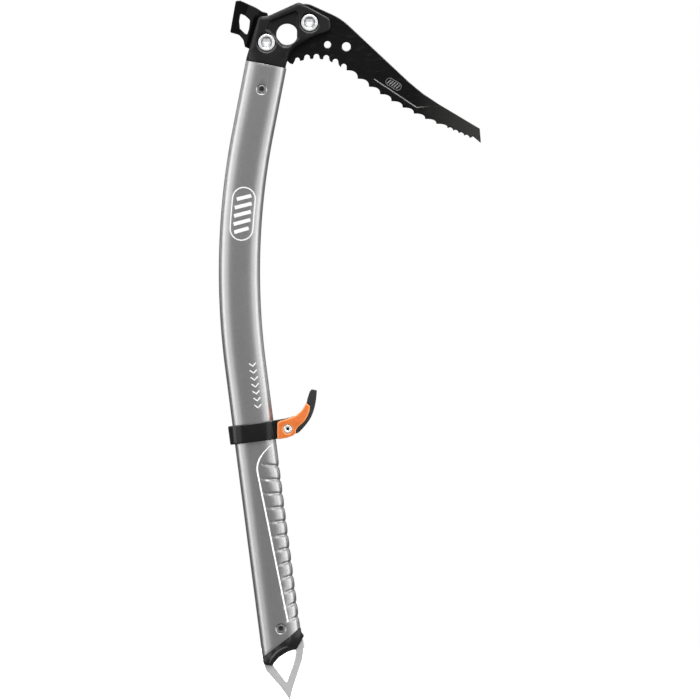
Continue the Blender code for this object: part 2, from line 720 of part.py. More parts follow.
def build_spike(surface, rivet_hole):
    spike = finish(chamfered_plate(spike_outline(), SPIKE_HALF, 0.0003), "spike", surface)
    opening = rounded(mm((-0.4, -483.9, 0.6), (5.4, -468.0, 30.0), (6.9, -459.0, 1.0),
                         (0.4, -459.9, 8.0), (-7.2, -464.2, 8.0), (-10.5, -470.6, 1.0)))
    cut(spike, guide(plate(opening, -0.01, 0.01), "spike_eye"), rivet_hole)
    return spike


def foot_ring(drop, thickness):
    """Section of the foot at a distance below the slanted end of the tube."""
    shift = FOOT_FLARE / 2
    wider = 1 + shift / SHAFT_HALF_WIDTH
    section = [(across * wider, y) for across, y in oval()]
    return [place(SHAFT_LENGTH - BOTTOM_SLANT * (across + shift) + drop,
                  across + shift, y * thickness) for across, y in section]


def build_ferrule(surface, rivet_hole):
    """End cap: a moulded foot under the slanted tube end and a plug inside it."""
    levels = ((GAP, 0.98), (0.0058, 0.95), (0.0115, 0.30), (0.0200, 0.26))
    foot = finish(stack([foot_ring(*level) for level in levels]), "spike_ferrule",
                  surface, sharp=40.0)
    corners = mm((-24.0, -455.0, 0.0), (-18.7, -464.0, 0.8), (-18.4, -467.6, 2.0),
                 (-16.2, -470.2, 1.6), (-11.4, -470.9, 1.0), (-6.0, -464.6, 8.0),
                 (0.4, -460.6, 12.0), (7.2, -458.4, 3.0), (12.7, -448.5, 0.6),
                 (10.6, -446.0, 2.0), (9.9, -440.0, 2.0), (9.9, -430.0, 0.0),
                 (-24.0, -430.0, 0.0))
    wide = 0.02
    combine(foot, guide(plate(rounded(corners), -wide, wide), "foot_side"), "INTERSECT")
    section = oval(-SHAFT_WALL - GAP)
    base = [place(SHAFT_LENGTH + 0.001 - BOTTOM_SLANT * across, across, y)
            for across, y in section]
    head = [place(SHAFT_LENGTH - 0.034, across, y) for across, y in section]
    add(foot, guide(stack([base, head]), "plug"))
    cut(foot, guide(plate(spike_outline(GAP), -SPIKE_HALF - GAP, SPIKE_HALF + GAP),
                    "spike_slot"), rivet_hole)
    return foot


# ---------------------------------------------------------------- hand rest

def ring_plate(outline, half_height):
    """Solid of an (across, y) outline standing on the shaft axis."""
    return stack([[(x, y, z) for x, y in outline] for z in (-half_height, half_height)])


def pivot_object(work, name, surface):
    return finish(work, name, surface, (PIVOT[0], 0.0, PIVOT[1]))


def pivot_guide(work, name):
    return guide(work, name, (PIVOT[0], 0.0, PIVOT[1]))


def band_section(play, wall, rear):
    """Rounded (across, y) outline of the band; the rear may be thicker."""
    outline = oval(play + wall, 40)
    return [(across - (rear if across < 0 else 0.0), y) for across, y in outline]


def boss_outline():
    """Side view of the boss that carries the lever, about the pivot."""
    return rounded(mm((-18.0, 5.4, 0.0), (-9.9, 6.6, 3.0), (-0.4, 8.1, 20.0),
                      (5.4, 10.0, 1.5), (8.6, 3.0, 4.0), (4.6, -4.2, 4.0),
                      (-3.0, -6.5, 8.0), (-18.0, -8.4, 0.0)))


def build_band(surface):
    """Band round the tube with a boss in front for cam, shoe and lever."""
    centre, lean = station(BAND_BELOW_JOINT)
    half = BAND_HEIGHT / 2
    at = (centre.x, 0.0, centre.z)
    shell = band_section(BAND_PLAY, BAND_WALL, BAND_REAR_WALL - BAND_WALL)
    front = SHAFT_HALF_WIDTH + 0.0014
    shell = [(min(across, front), y) for across, y in shell]
    chamfer = 0.0007
    inner = inset(shell, [chamfer] * len(shell))
    layers = [[(x, y, z) for x, y in ring] for ring, z in
              ((inner, -half), (shell, chamfer - half), (shell, half - chamfer),
               (inner, half))]
    band = finish(stack(layers), "rest_band", surface, at, lean)
    add(band, pivot_guide(plate(boss_outline(), -BOSS_HALF, BOSS_HALF), "boss"))
    hollow = band_section(BAND_PLAY, 0.0, 0.0)
    tall = 0.02
    cut(band, guide(ring_plate(hollow, tall), "band_hollow", at, lean))
    deep = -SHAFT_HALF_WIDTH - BAND_PLAY - 0.0011
    recess = [(deep, -0.0029), (deep, 0.0029), (-0.004, 0.0029), (-0.004, -0.0029)]
    cut(band, guide(ring_plate(recess, 0.0052), "liner_recess", at, lean))
    sweep = 0.0092
    for side in (-1, 1):
        ends = sorted((side * (BOSS_HALF + 0.00001), side * 0.02))
        cut(band, pivot_guide(plate(circle((0, 0), sweep, 40), *ends), "cheek_sweep"))
        clear = mm((-8.0, 14.0), (30.0, 14.0), (30.0, -14.0), (-8.0, -14.0))
        cut(band, pivot_guide(plate(clear, *ends), "cheek_side"))
    cavity = circle((0, 0), CAVITY_RADIUS, 32)
    cut(band, pivot_guide(plate(cavity, -CAM_HALF - GAP, 0.02), "cam_cavity"))
    journal = circle((0, 0), JOURNAL_RADIUS + GAP, 24)
    cut(band, pivot_guide(plate(journal, -0.02, 0.0), "journal_bore"))
    cut(band, shoe_guide("shoe_pocket", GAP, 0.0030))
    return band


def shoe_box(extra, ahead):
    """Block of the shoe in the frame of the lower shaft, grown by extra."""
    face = SHAFT_HALF_WIDTH + 0.0005 - (0.003 if extra else 0.0)
    back = pivot_across() - CAM_RADIUS - CAM_THROW - GAP + ahead
    tall = 0.0036 + extra
    wide = 0.0048 + extra
    outline = [(face, -wide), (back, -wide), (back, wide), (face, wide)]
    return ring_plate(outline, tall)


def pivot_across():
    """Distance of the lever pivot in front of the shaft axis."""
    centre, lean = station(BAND_BELOW_JOINT)
    angle = math.radians(lean)
    offset = Vector((PIVOT[0], 0.0, PIVOT[1])) - centre
    return offset.x * math.cos(angle) - offset.z * math.sin(angle)


def shoe_place():
    """Point on the shaft axis level with the lever pivot."""
    centre, lean = station(BAND_BELOW_JOINT)
    angle = math.radians(lean)
    offset = Vector((PIVOT[0], 0.0, PIVOT[1])) - centre
    rise = offset.x * math.sin(angle) + offset.z * math.cos(angle)
    point, lean = station(BAND_BELOW_JOINT - rise)
    return (point.x, 0.0, point.z), lean


def shoe_guide(name, extra, ahead):
    at, lean = shoe_place()
    return guide(shoe_box(extra, ahead), name, at, lean)


def build_shoe(surface):
    at, lean = shoe_place()
    return finish(shoe_box(0.0, 0.0), "rest_shoe", surface, at, lean)


def build_liner(surface):
    """Rubber pad in the rear wall of the band."""
    centre, lean = station(BAND_BELOW_JOINT)
    face = -SHAFT_HALF_WIDTH - 0.0004
    back = face - 0.0008
    outline = [(face, -0.0026), (face, 0.0026), (back, 0.0026), (back, -0.0026)]
    return finish(ring_plate(outline, 0.0049), "rest_liner", surface,
                  (centre.x, 0.0, centre.z), lean)


def lever_top():
    """Upper edge of the lever about its pivot, outwards."""
    return smooth(mm((-0.2, 7.7), (5.2, 9.7), (7.5, 11.3), (10.5, 14.1), (13.5, 19.6),
                     (16.4, 28.2)), 3)


def lever_underside():
    """Lower edge of the lever about its pivot, from the tip inwards."""
    return smooth(mm((21.7, 28.2), (20.8, 20.0), (18.9, 12.5), (15.9, 6.3),
                     (10.3, -0.5), (6.2, -3.8), (-0.2, -6.4), (-5.2, -7.3)), 3)


def grip_outline():
    """Soft cover over the tip and along the outer edge of the lever."""
    seam = smooth(mm((6.2, -3.3), (7.3, 0.5), (10.6, 3.4), (13.4, 6.6), (16.2, 12.2),
                     (17.0, 17.2)), 3)
    outer = [point for point in lever_underside() if point[0] > 0.0066]
    tip = mm((14.2, 19.9), (14.6, 22.6), (16.4, 28.0), (17.8, 29.6), (21.2, 29.0))
    return outer + seam + tip


def lever_outline():
    """Side view of the orange lever without the grip."""
    inner = [point for point in lever_top() if point[0] < 0.0130]
    seam = smooth(mm((16.6, 17.0), (15.8, 12.3), (13.1, 6.9), (10.3, 3.7),
                     (6.9, 0.6), (5.8, -3.4)), 3)
    under = [point for point in lever_underside() if point[0] < 0.0055]
    rear = mm((-7.5, -7.5), (-7.7, -7.2), (-7.7, 3.9), (-7.2, 5.2), (-5.9, 5.9))
    return inner + mm((13.8, 19.6)) + seam + under + rear


def lever_body(outline, name, surface):
    """Thick plate of the outline, narrower upwards, with the fork cut through it."""
    work = plate(outline, -CHEEK_OUTER, CHEEK_OUTER)
    for side in (-1, 1):
        normal = Vector((0.0, side * 0.992, 0.126))
        trim(work, Vector((0.0, side * CHEEK_OUTER, 0.006)), normal)
    body = pivot_object(work, name, surface)
    fork = circle((0, 0), FORK_RADIUS, 48)
    cut(body, pivot_guide(plate(fork, -CHEEK_INNER, CHEEK_INNER), name + "_fork"))
    return body


def build_lever(surface):
    lever = lever_body(lever_outline(), "rest_lever", surface)
    drive = mm((-2.5, -2.5), (2.5, -2.5), (2.5, 2.5), (-2.5, 2.5))
    pocket = SCREW_HEAD_RADIUS + GAP
    cut(lever,
        pivot_guide(plate(drive, -0.0099, 0.0099), "drive_recess"),
        pivot_guide(plate(circle((0, 0), pocket, 24), -0.02, -0.0106), "screw_pocket"),
        pivot_guide(plate(circle((0, 0), pocket, 24), 0.0106, 0.02), "nut_pocket"),
        pivot_guide(plate(circle((0, 0), SCREW_RADIUS + GAP, 20), -0.011, 0.0),
                    "screw_bore"),
        pivot_guide(plate(circle((0, 0), 0.0029, 20), 0.0, 0.011), "nut_bore"))
    return lever


def build_cam(surface):
    """Eccentric that turns with the lever and drives the shoe at the shaft."""
    lean = math.radians(station(BAND_BELOW_JOINT)[1])
    towards = (-CAM_THROW * math.cos(lean), CAM_THROW * math.sin(lean))
    cam = pivot_object(plate(circle(towards, CAM_RADIUS, 32), -CAM_HALF, CAM_HALF),
                       "rest_cam", surface)
    journal = circle((0, 0), JOURNAL_RADIUS, 24)
    add(cam, pivot_guide(plate(journal, -0.0086, 0.0086), "cam_journal"))
    drive = mm((-2.2, -2.2), (2.2, -2.2), (2.2, 2.2), (-2.2, 2.2))
    add(cam, pivot_guide(plate(drive, -0.0096, 0.0096), "cam_drive"))
    cut(cam, pivot_guide(plate(circle((0, 0), SCREW_RADIUS + GAP, 20), -0.02, 0.02),
                         "cam_bore"))
    return cam


def build_bush(surface):
    """Plain bearing that closes the open side of the cam cavity."""
    bush = pivot_object(plate(circle((0, 0), CAVITY_RADIUS - GAP, 32),
                              CAM_HALF + GAP, BOSS_HALF - 0.0001), "rest_bush", surface)
    cut(bush, pivot_guide(plate(circle((0, 0), JOURNAL_RADIUS + GAP, 24), 0.0, 0.02),
                          "bush_bore"))
    return bush


def build_screw(surface):
    """Small screw that holds lever and cam together, from the near side."""
    top = -0.0121
    under = -0.0109
    profile = [(0, top), (SCREW_HEAD_RADIUS - 0.0004, top),
               (SCREW_HEAD_RADIUS, top + 0.0004), (SCREW_HEAD_RADIUS, under),
               (SCREW_RADIUS, under), (SCREW_RADIUS, 0.0111), (0, 0.0111)]
    screw = pivot_object(turned(profile), "rest_screw", surface)
    socket = circle((0, 0), 0.00135, 6)
    cut(screw, pivot_guide(plate(socket, top - 0.001, under + 0.0002), "screw_socket"))
    return screw


def build_nut(surface):
    """Cap nut on the far side of the lever."""
    top = 0.0121
    under = 0.0109
    bore = SCREW_RADIUS + GAP
    profile = [(0, 0.0114), (bore, 0.0114), (bore, 0.0100), (0.0026, 0.0100),
               (0.0026, under), (SCREW_HEAD_RADIUS, under),
               (SCREW_HEAD_RADIUS, top - 0.0004), (SCREW_HEAD_RADIUS - 0.0004, top),
               (0, top)]
    return pivot_object(turned(profile), "rest_nut", surface)


# ---------------------------------------------------------------- assembly

def build():
    clear_scene()
    bare = material("anodised_grey", (0.36, 0.37, 0.38), 0.42, 0.9)
    black = material("black_coated_steel", (0.02, 0.021, 0.022), 0.45, 0.3)
    forged = material("black_gloss_steel", (0.012, 0.012, 0.013), 0.25, 0.4)
    zinc = material("plated_steel", (0.72, 0.73, 0.75), 0.28, 1.0)
    blade = material("satin_steel", (0.55, 0.55, 0.54), 0.38, 1.0)
    plastic = material("black_plastic", (0.015, 0.015, 0.016), 0.5, 0.0)
    orange = material("orange_plastic", (0.86, 0.22, 0.02), 0.4, 0.0)
    rubber = material("black_rubber", (0.02, 0.02, 0.02), 0.8, 0.0)
    bronze = material("bearing_bronze", (0.55, 0.38, 0.16), 0.4, 1.0)

    head_hole = rivet_guide("head_rivet_hole", HEAD_RIVET)
    spike_hole = rivet_guide("spike_rivet_hole", SPIKE_RIVET)

    shaft = build_shaft(bare)
    cut(shaft, head_hole, spike_hole)
    build_head(black, head_hole)
    build_pick(black)
    build_hammer(forged)
    build_bolt("front_head_bolt", FRONT_BOLT, FRONT_POCKET_FLOOR, zinc)
    build_bolt("rear_head_bolt", REAR_BOLT, REAR_POCKET_FLOOR, zinc)
    build_sleeve_nut("front_head_nut", FRONT_BOLT, FRONT_POCKET_FLOOR, zinc)
    build_sleeve_nut("rear_head_nut", REAR_BOLT, REAR_POCKET_FLOOR, zinc)
    build_rivet("head_rivet", HEAD_RIVET, blade)
    build_spike(blade, spike_hole)
    build_ferrule(plastic, spike_hole)
    build_rivet("spike_rivet", SPIKE_RIVET, blade)

    build_band(plastic)
    build_liner(rubber)
    build_shoe(rubber)
    build_lever(orange)
    lever_body(grip_outline(), "rest_lever_grip", rubber)
    build_cam(zinc)
    build_bush(bronze)
    build_screw(zinc)
    build_nut(zinc)


build()
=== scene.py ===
"""Looks of a technical ice axe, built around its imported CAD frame.

Frame: metres, +Z up, the origin in the carabiner eye, +X towards the pick; the camera
looks along +Y.  Made again here in finer detail: the tube, with pressed finger grooves
and rivet dimples; the head bolts, their nuts and the lever's screw, with six-lobed
sockets; the foot and the band of the hand rest, so that their round faces shade
smoothly.  The other CAD nodes keep their shape and get finished materials.
"""

import math

import bmesh
import bpy
import numpy as np
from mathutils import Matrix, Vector
from mathutils.bvhtree import BVHTree


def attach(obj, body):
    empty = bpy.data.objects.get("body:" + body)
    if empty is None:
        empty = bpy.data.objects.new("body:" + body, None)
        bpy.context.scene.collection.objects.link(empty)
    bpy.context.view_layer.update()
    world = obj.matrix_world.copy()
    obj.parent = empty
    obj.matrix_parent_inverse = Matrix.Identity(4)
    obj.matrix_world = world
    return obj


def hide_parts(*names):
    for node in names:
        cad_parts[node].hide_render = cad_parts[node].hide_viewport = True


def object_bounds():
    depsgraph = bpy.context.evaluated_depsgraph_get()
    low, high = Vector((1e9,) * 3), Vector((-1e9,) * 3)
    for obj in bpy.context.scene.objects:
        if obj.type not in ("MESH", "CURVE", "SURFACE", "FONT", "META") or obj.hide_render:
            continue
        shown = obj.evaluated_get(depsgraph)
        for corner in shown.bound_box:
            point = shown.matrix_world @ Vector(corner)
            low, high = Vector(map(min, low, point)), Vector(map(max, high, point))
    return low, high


MM = 0.001
SIDES = (-1, 1)                  # near and far side of the tool, along Y

# Softened edges of materials, and CAD nodes that are made again with joined corners
BEVEL_SAMPLES = 8
EDGE_FULL = 0.92                 # cosine of the rounding's turn where an edge is full
EDGE_NONE = 0.995                # and where it is not an edge
JOIN_DISTANCE = 0.00002
FACE_WEIGHT = 100                # large faces decide the shading of joined corners
REFINED_SHARP = 32.0             # degrees; edges bent by more stay edges

# Shaft axis: straight, one bend, straight (the same dimensions as the CAD)
SHAFT_TOP = (-0.0156, -0.0225)   # (x, z) of the axis at the head joint
SHAFT_TOP_LEAN = math.radians(11.08)         # from upright
SHAFT_BEND = math.radians(18.456)
SHAFT_BEND_RADIUS = 0.5405
SHAFT_UPPER_LENGTH = 0.0516
SHAFT_LOWER_LENGTH = 0.2090
SHAFT_BEND_END = SHAFT_UPPER_LENGTH + SHAFT_BEND * SHAFT_BEND_RADIUS
SHAFT_HALF_WIDTH = 0.01542
SHAFT_HALF_THICKNESS = 0.0095
SHAFT_FULLNESS = 2.4             # 2 is an ellipse; more is boxier
SHAFT_POINTS = 168               # points round the tube
OVAL_SAMPLES = 4001              # fine points from which those are spaced evenly
SHAFT_WALL = 0.0016
SHAFT_GAP = 0.00005              # the tube ends this far below the head
SHAFT_RIM = 0.0002               # rounding of the tube's cut ends
TUBE_EXTRA = 0.00025             # the tube reaches this far past the CAD's, to the foot
TUBE_END = SHAFT_BEND_END + SHAFT_LOWER_LENGTH + TUBE_EXTRA
BOTTOM_SLANT = 0.587             # slope of its lower end against square
BORE_STEPS = 12                  # rings of the bore along the bend
RING_STEP = 0.003                # distance between rings on the plain tube,
RING_STEP_GRIP = 0.00042         # along the finger grooves
RING_STEP_RIVET = 0.00028        # and near the rivets
GRIP_LEAD = 0.012                # the closer rings start this far above the grooves
RIVET_REACH = 0.0055             # and this far from a rivet

# Finger grooves, measured along the shaft from the head joint and across it
GROOVE_STARTS = (0.0034, 0.0011, 0.0018, 0.0028, 0.0034, 0.0037, 0.0040, 0.0044,
                 0.0050, 0.0052, 0.0058, 0.0066)  # rear ends, in front of the axis
GROOVES = len(GROOVE_STARTS)
GROOVE_PITCH = 0.01024
GROOVE_TOP = 0.3041
GROOVE_WIDTH = 0.0011
GROOVE_DEPTH = 0.0006
GROOVE_TILT = -13.4              # first groove against square to the shaft, degrees
GROOVE_TILT_STEP = 3.0           # and each groove further down turns this much more
GROOVE_TAPER = 0.005             # length over which a groove runs out to the rear
GROOVE_SHALLOW = 0.25            # share of the depth that is left at its rear end
PIT_RADIUS = 0.0009              # round end of each groove
PIT_DEPTH = 0.0004
PIT_RISE = 0.0005                # its middle lies this far above the groove's
PILLOW_DEPTH = 0.0003            # the grip swells this much between two grooves
PILLOW_BACK = 0.0040
PILLOW_FULL = 0.0120
PILLOW_REACH = 0.9               # pitches that it goes on past the end grooves
PILLOW_EASE = 0.6                # pitches over which it grows and fades
SLANT_START = GROOVE_TOP + (GROOVES - 0.5) * GROOVE_PITCH  # rings lean over from here

# Print: (x, z) in the side view, or distances along the shaft and across it
INK_HEIGHT = 0.00004
INK_ROOT = 0.0001
PRINT_STEP = 0.0012              # distance between points along a stroke
GRIP_LINE_WIDTH = 0.00115
GRIP_LINE_TIP = 0.3              # share of the width that the line starts with
GRIP_LINE_CURL = ((-0.0112, -0.3060), (-0.0180, -0.3112), (-0.0237, -0.3185),
                  (-0.0219, -0.3273))
GRIP_LINE_END = (0.0007, -0.4383)
CURL_STEPS = 14
STRAIGHT_STEPS = 12
EMBLEM_DOWN = 0.1130
EMBLEM_ACROSS = 0.0007
EMBLEM_SIZE = (0.0395, 0.0170, 0.0009)       # length, width and line width
CAPSULE_STEPS = 12               # steps round each end of its outline
EMBLEM_BARS = 5
BAR_PITCH = 0.155                # shares of the emblem's length
BAR_LINE = 0.068
BAR_REACH = 0.36                 # shares of its width
END_BAR_REACH = 0.31
BAR_SLOPE = 0.35
PICK_EMBLEM_PLACE = (0.0794, -0.0372)
PICK_EMBLEM_SLOPE = -31.0        # degrees
PICK_EMBLEM_SIZE = (0.0124, 0.0056, 0.00035)
CHEVRONS = 7
CHEVRON_DOWN = 0.2252
CHEVRON_ACROSS = 0.0054
CHEVRON_PITCH = 0.0052
CHEVRON_LENGTH = 0.0024
CHEVRON_HALF_WIDTH = 0.0026
CHEVRON_LINE = 0.0009
PROBE_START = 0.05               # rays at a node start this far out, beside the tool

# Raised rib on the foot, (x, z) in the side view
RIB_CURVE = ((-0.0131, -0.4688), (-0.0112, -0.4640), (-0.0068, -0.4583),
             (0.0006, -0.4567))
RIB_STEPS = 24
RIB_WIDTH = 0.0017
RIB_HEIGHT = 0.0005
RIB_START = 0.12                 # its width follows an arch from this share of it
RIB_RUN = 0.80                   # over this much

# Bolts through the head: (x, z), and how far out the seats of their heads lie
FRONT_BOLT = (0.0167, 0.0085)
REAR_BOLT = (-0.0153, -0.0063)
FRONT_FLOOR = 0.0060
REAR_FLOOR = 0.0071
PLAY = 0.0003                    # clearance under a bolt's head and round its shank
BOLT_RADIUS = 0.0030
SLEEVE_RADIUS = 0.0040
BOLT_HEAD_RADIUS = 0.00625
SCREW_POINTS = 72                # points round a screw
LOBES = 6
TURNING_PITCH = 0.00022          # distance between turning marks
WAVE_PERIOD = 0.314              # distance between the waves of a texture of scale 1

# Hand rest: screw, and outline of the rubber seam in millimetres from the screw's axis
LEVER_PIVOT = (0.0005, -0.2944)
PIVOT_FLOOR = 0.0109             # where the underside of the screw's head lies
SEAM_INNER = ((13.8, 19.3), (16.4, 16.9), (15.6, 12.4), (12.9, 7.1), (10.1, 3.9),
              (6.7, 0.7), (5.7, -3.3))
SEAM_OUTER = ((6.4, -3.4), (7.5, 0.4), (10.8, 3.2), (13.6, 6.4), (16.4, 12.1),
              (17.2, 17.1), (14.1, 20.1))
SEAM_FACES = (0.0090, 0.0103)    # y of its two faces

# Rivets in the shaft, (x, z), and the dimple round each
RIVETS = ((-0.0190, -0.0411), (-0.0046, -0.4431))
DIMPLE_RADIUS = 0.0042
DIMPLE_DEPTH = 0.0014
DIMPLE_FLOOR = 0.0027            # radius of its flat bottom
RIVET_SHADE_RADIUS = 0.0018             # radius of a rivet's dark middle, painted shade as of a hollow
RIVET_SHADE_FADE = 0.0006              # width over which it turns pale

# Studio
CAMERA_DISTANCE = 8.0
VIEW_CENTRE = (0.0469, -0.2355)
VIEW_WIDTH = 0.5222
SENSOR_WIDTH = 36.0              # millimetres
LIGHT_AIM = (0.0, 0.0, -0.24)
ROOM_FRONT = 0.50                # brightness of the room on the camera's side
ROOM_BACK = 0.20
ROOM_TURN = (0.7, -0.5)          # Y of the directions where back and front begin
FLOOR_RADIUS = 1.4
FLOOR_POINTS = 96
FLOOR_DROP = 0.0005              # the floor lies this far below the spike

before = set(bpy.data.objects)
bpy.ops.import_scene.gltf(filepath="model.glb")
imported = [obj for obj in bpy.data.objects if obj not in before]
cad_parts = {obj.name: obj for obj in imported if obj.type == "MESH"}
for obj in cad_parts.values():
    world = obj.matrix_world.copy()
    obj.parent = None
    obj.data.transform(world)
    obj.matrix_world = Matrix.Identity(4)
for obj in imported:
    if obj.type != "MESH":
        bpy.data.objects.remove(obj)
CAD_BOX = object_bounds()


# ---------------------------------------------------------------- materials

class Surface:
    """A material being made: its shader, and short ways to add pattern nodes."""

    def __init__(self, name, **constants):
        self.made = bpy.data.materials.new(name)
        self.made.use_nodes = True
        self.nodes = self.made.node_tree.nodes
        self.links = self.made.node_tree.links
        self.shader = self.nodes["Principled BSDF"]
        self.place = self.add("ShaderNodeTexCoord").outputs["Object"]
        self.normal = None
        for socket, value in constants.items():
            self.shader.inputs[socket.replace("_", " ")].default_value = value

    def add(self, kind, inputs=(), **settings):
        """New node; each input is linked if it is a socket, and set if it is a value."""
        node = self.nodes.new(kind)
        for name, value in settings.items():
            setattr(node, name, value)
        for name, value in dict(inputs).items():
            if isinstance(value, bpy.types.NodeSocket):
                self.links.new(value, node.inputs[name])
            else:
                node.inputs[name].default_value = value
        return node

    def noise(self, size, detail=3.0, stretch=(1.0, 1.0, 1.0)):
        """Cloudy pattern, 0 to 1, whose blotches are about size metres across."""
        scaled = self.add("ShaderNodeMapping", {
            "Vector": self.place, "Scale": [part / size for part in stretch]})
        pattern = self.add("ShaderNodeTexNoise", {
            "Vector": scaled.outputs[0], "Scale": 1.0, "Detail": detail})
        return pattern.outputs["Fac"]

    def spread(self, value, low, high, start=0.3, end=0.7):
        """Value from start..end brought to low..high."""
        mapped = self.add("ShaderNodeMapRange", {
            "Value": value, "From Min": start, "From Max": end,
            "To Min": low, "To Max": high})
        return mapped.outputs["Result"]

    def around(self, centre, scale=(1.0, 1.0, 1.0)):
        """Object coordinates measured from an axis along Y through centre (x, z)."""
        moved = self.add("ShaderNodeMapping", {
            "Vector": self.place, "Location": (-centre[0], 0.0, -centre[1]),
            "Scale": scale})
        return moved.outputs[0]

    def blend(self, factor, first, second):
        """First colour where factor is 0, second where it is 1."""
        mixed = self.add("ShaderNodeMix", data_type="RGBA")
        self.links.new(factor, mixed.inputs["Factor"])
        for slot, colour in (("A", first), ("B", second)):
            socket = [s for s in mixed.inputs if s.name == slot and s.type == "RGBA"][0]
            if isinstance(colour, bpy.types.NodeSocket):
                self.links.new(colour, socket)
            else:
                socket.default_value = (*colour, 1.0)
        return [s for s in mixed.outputs if s.type == "RGBA"][0]

    def soften(self, radius):
        """Shade the edges as rounded to a radius; 1 on those edges, 0 elsewhere."""
        rounded = self.add("ShaderNodeBevel", {"Radius": radius}, samples=BEVEL_SAMPLES)
        self.normal = rounded.outputs["Normal"]
        self.links.new(self.normal, self.shader.inputs["Normal"])
        turned = self.add("ShaderNodeVectorMath", operation="DOT_PRODUCT")
        self.links.new(self.normal, turned.inputs[0])
        flat = self.add("ShaderNodeNewGeometry").outputs["True Normal"]
        self.links.new(flat, turned.inputs[1])
        return self.spread(turned.outputs["Value"], 1.0, 0.0, EDGE_FULL, EDGE_NONE)

    def facing_up(self, start, end):
        """0 on upright faces, 1 on faces and rounded edges that look upward."""
        tilt = self.add("ShaderNodeSeparateXYZ", {"Vector": self.normal}).outputs["Z"]
        return self.spread(tilt, 0.0, 1.0, start, end)

    def product(self, first, second):
        both = self.add("ShaderNodeMath", {0: first, 1: second}, operation="MULTIPLY")
        return both.outputs[0]

    def bump(self, height, distance, strength=0.5):
        """Relief from a pattern, on top of the softened edges."""
        bumped = self.add("ShaderNodeBump", {
            "Height": height, "Distance": distance, "Strength": strength})
        if self.normal:
            self.links.new(self.normal, bumped.inputs["Normal"])
        self.links.new(bumped.outputs["Normal"], self.shader.inputs["Normal"])

    def drive(self, **sockets):
        """Lets patterns drive sockets of the shader."""
        for socket, value in sockets.items():
            self.links.new(value, self.shader.inputs[socket.replace("_", " ")])


def grey(level):
    return (level, level, level)


def blasted_aluminium():
    """Bead-blasted, grey anodised tube: fine grain and faint clouding."""
    made = Surface("blasted_aluminium", Metallic=0.92)
    grain = made.noise(0.0006, 2.0)
    cloud = made.noise(0.030, 2.0)
    tone = made.blend(made.spread(cloud, 0.3, 0.7), (0.29, 0.29, 0.293),
                      (0.32, 0.32, 0.324))
    fleck = made.spread(grain, 0.0, 0.4, 0.38, 0.72)
    made.drive(Base_Color=made.blend(fleck, tone, grey(0.44)),
               Roughness=made.spread(grain, 0.30, 0.38))
    made.bump(made.noise(0.00035, 3.0), 0.00004)
    return made.made


def satin_black(name, dark, light, rough, painted_edge_highlight, rounding, shine):
    """Satin black coating with a fine skin; its upper edges are painted lighter, in
    patches, as a highlight.
    """
    made = Surface(name, Metallic=0.0, Specular_IOR_Level=shine)
    # Painted highlight: rounded edges that face up are painted towards the lighter colour
    # given for them, in patches.
    edges = made.product(made.soften(rounding), made.facing_up(0.05, 0.35))
    skin = made.noise(0.0006, 4.0)
    painted_highlight_strength = made.spread(made.noise(0.004, 4.0), 0.60, 1.0, 0.40, 0.62)
    tone = made.blend(made.spread(made.noise(0.012), 0.0, 1.0), dark, light)
    made.drive(Base_Color=made.blend(made.product(edges, painted_highlight_strength), tone, painted_edge_highlight),
               Roughness=made.spread(skin, rough - 0.05, rough + 0.06))
    made.bump(skin, 0.00003, 0.4)
    return made.made


def pick_steel():
    """Black coated plate, greyer to the tip; its edges that face up are painted bright as a
    highlight, fainter to the tip.
    """
    made = Surface("pick_steel", Metallic=0.0, Specular_IOR_Level=0.07)
    # Painted highlight: rounded edges that face up are painted bright, strongly near the
    # head and faintly towards the tip.
    edges = made.product(made.soften(0.0013), made.facing_up(0.04, 0.30))
    rolled = made.noise(0.0008, 5.0, (0.25, 1.0, 1.0))
    along = made.add("ShaderNodeSeparateXYZ", {"Vector": made.place}).outputs["X"]
    plain = made.blend(made.spread(along, 0.0, 1.0, 0.095, 0.150),
                       (0.0030, 0.0032, 0.0031), (0.029, 0.029, 0.027))
    scuffed = made.spread(made.noise(0.0022, 5.0, (0.3, 1.0, 1.0)), 0.0, 0.18, 0.55, 0.8)
    tone = made.blend(scuffed, plain, (0.045, 0.045, 0.043))
    painted_highlight_strength = made.product(edges, made.spread(along, 1.0, 0.1, 0.095, 0.107))
    made.drive(Base_Color=made.blend(painted_highlight_strength, tone, (0.26, 0.26, 0.255)),
               Roughness=made.spread(rolled, 0.38, 0.52))
    made.bump(rolled, 0.00003, 0.4)
    return made.made


def turned_steel(name, centre):
    """Bright plated steel with turning marks round the screw's own axis."""
    made = Surface(name, Metallic=0.75)
    edges = made.soften(0.00015)
    rings = made.add("ShaderNodeTexWave", {
        "Vector": made.around(centre), "Scale": WAVE_PERIOD / TURNING_PITCH,
        "Distortion": 0.8, "Detail": 2.0},
        wave_type="RINGS", rings_direction="Y").outputs["Fac"]
    spots = made.spread(made.noise(0.0009, 4.0), 0.0, 1.0, 0.35, 0.65)
    plain = made.blend(spots, (0.80, 0.81, 0.83), (0.95, 0.95, 0.96))
    # Painted highlight: the rounded edges are painted white.
    made.drive(Base_Color=made.blend(edges, plain, (1.0, 1.0, 1.0)),
               Roughness=made.spread(rings, 0.24, 0.36, 0.0, 1.0))
    made.bump(rings, 0.00002, 0.3)
    return made.made


def socket_shade_steel(name, shade_dark, shade_light):
    """Socket steel painted dark as the shade in its hollow, unevenly."""
    made = Surface(name, Metallic=0.9)
    made.soften(0.0004)
    blotches = made.noise(0.0012, 4.0)
    # Painted shade: the socket's hollow is coloured between the dark and the light shade,
    # in blotches.
    made.drive(Base_Color=made.blend(blotches, shade_dark, shade_light),
               Roughness=made.spread(blotches, 0.28, 0.46))
    made.bump(blotches, 0.00012, 0.6)
    return made.made


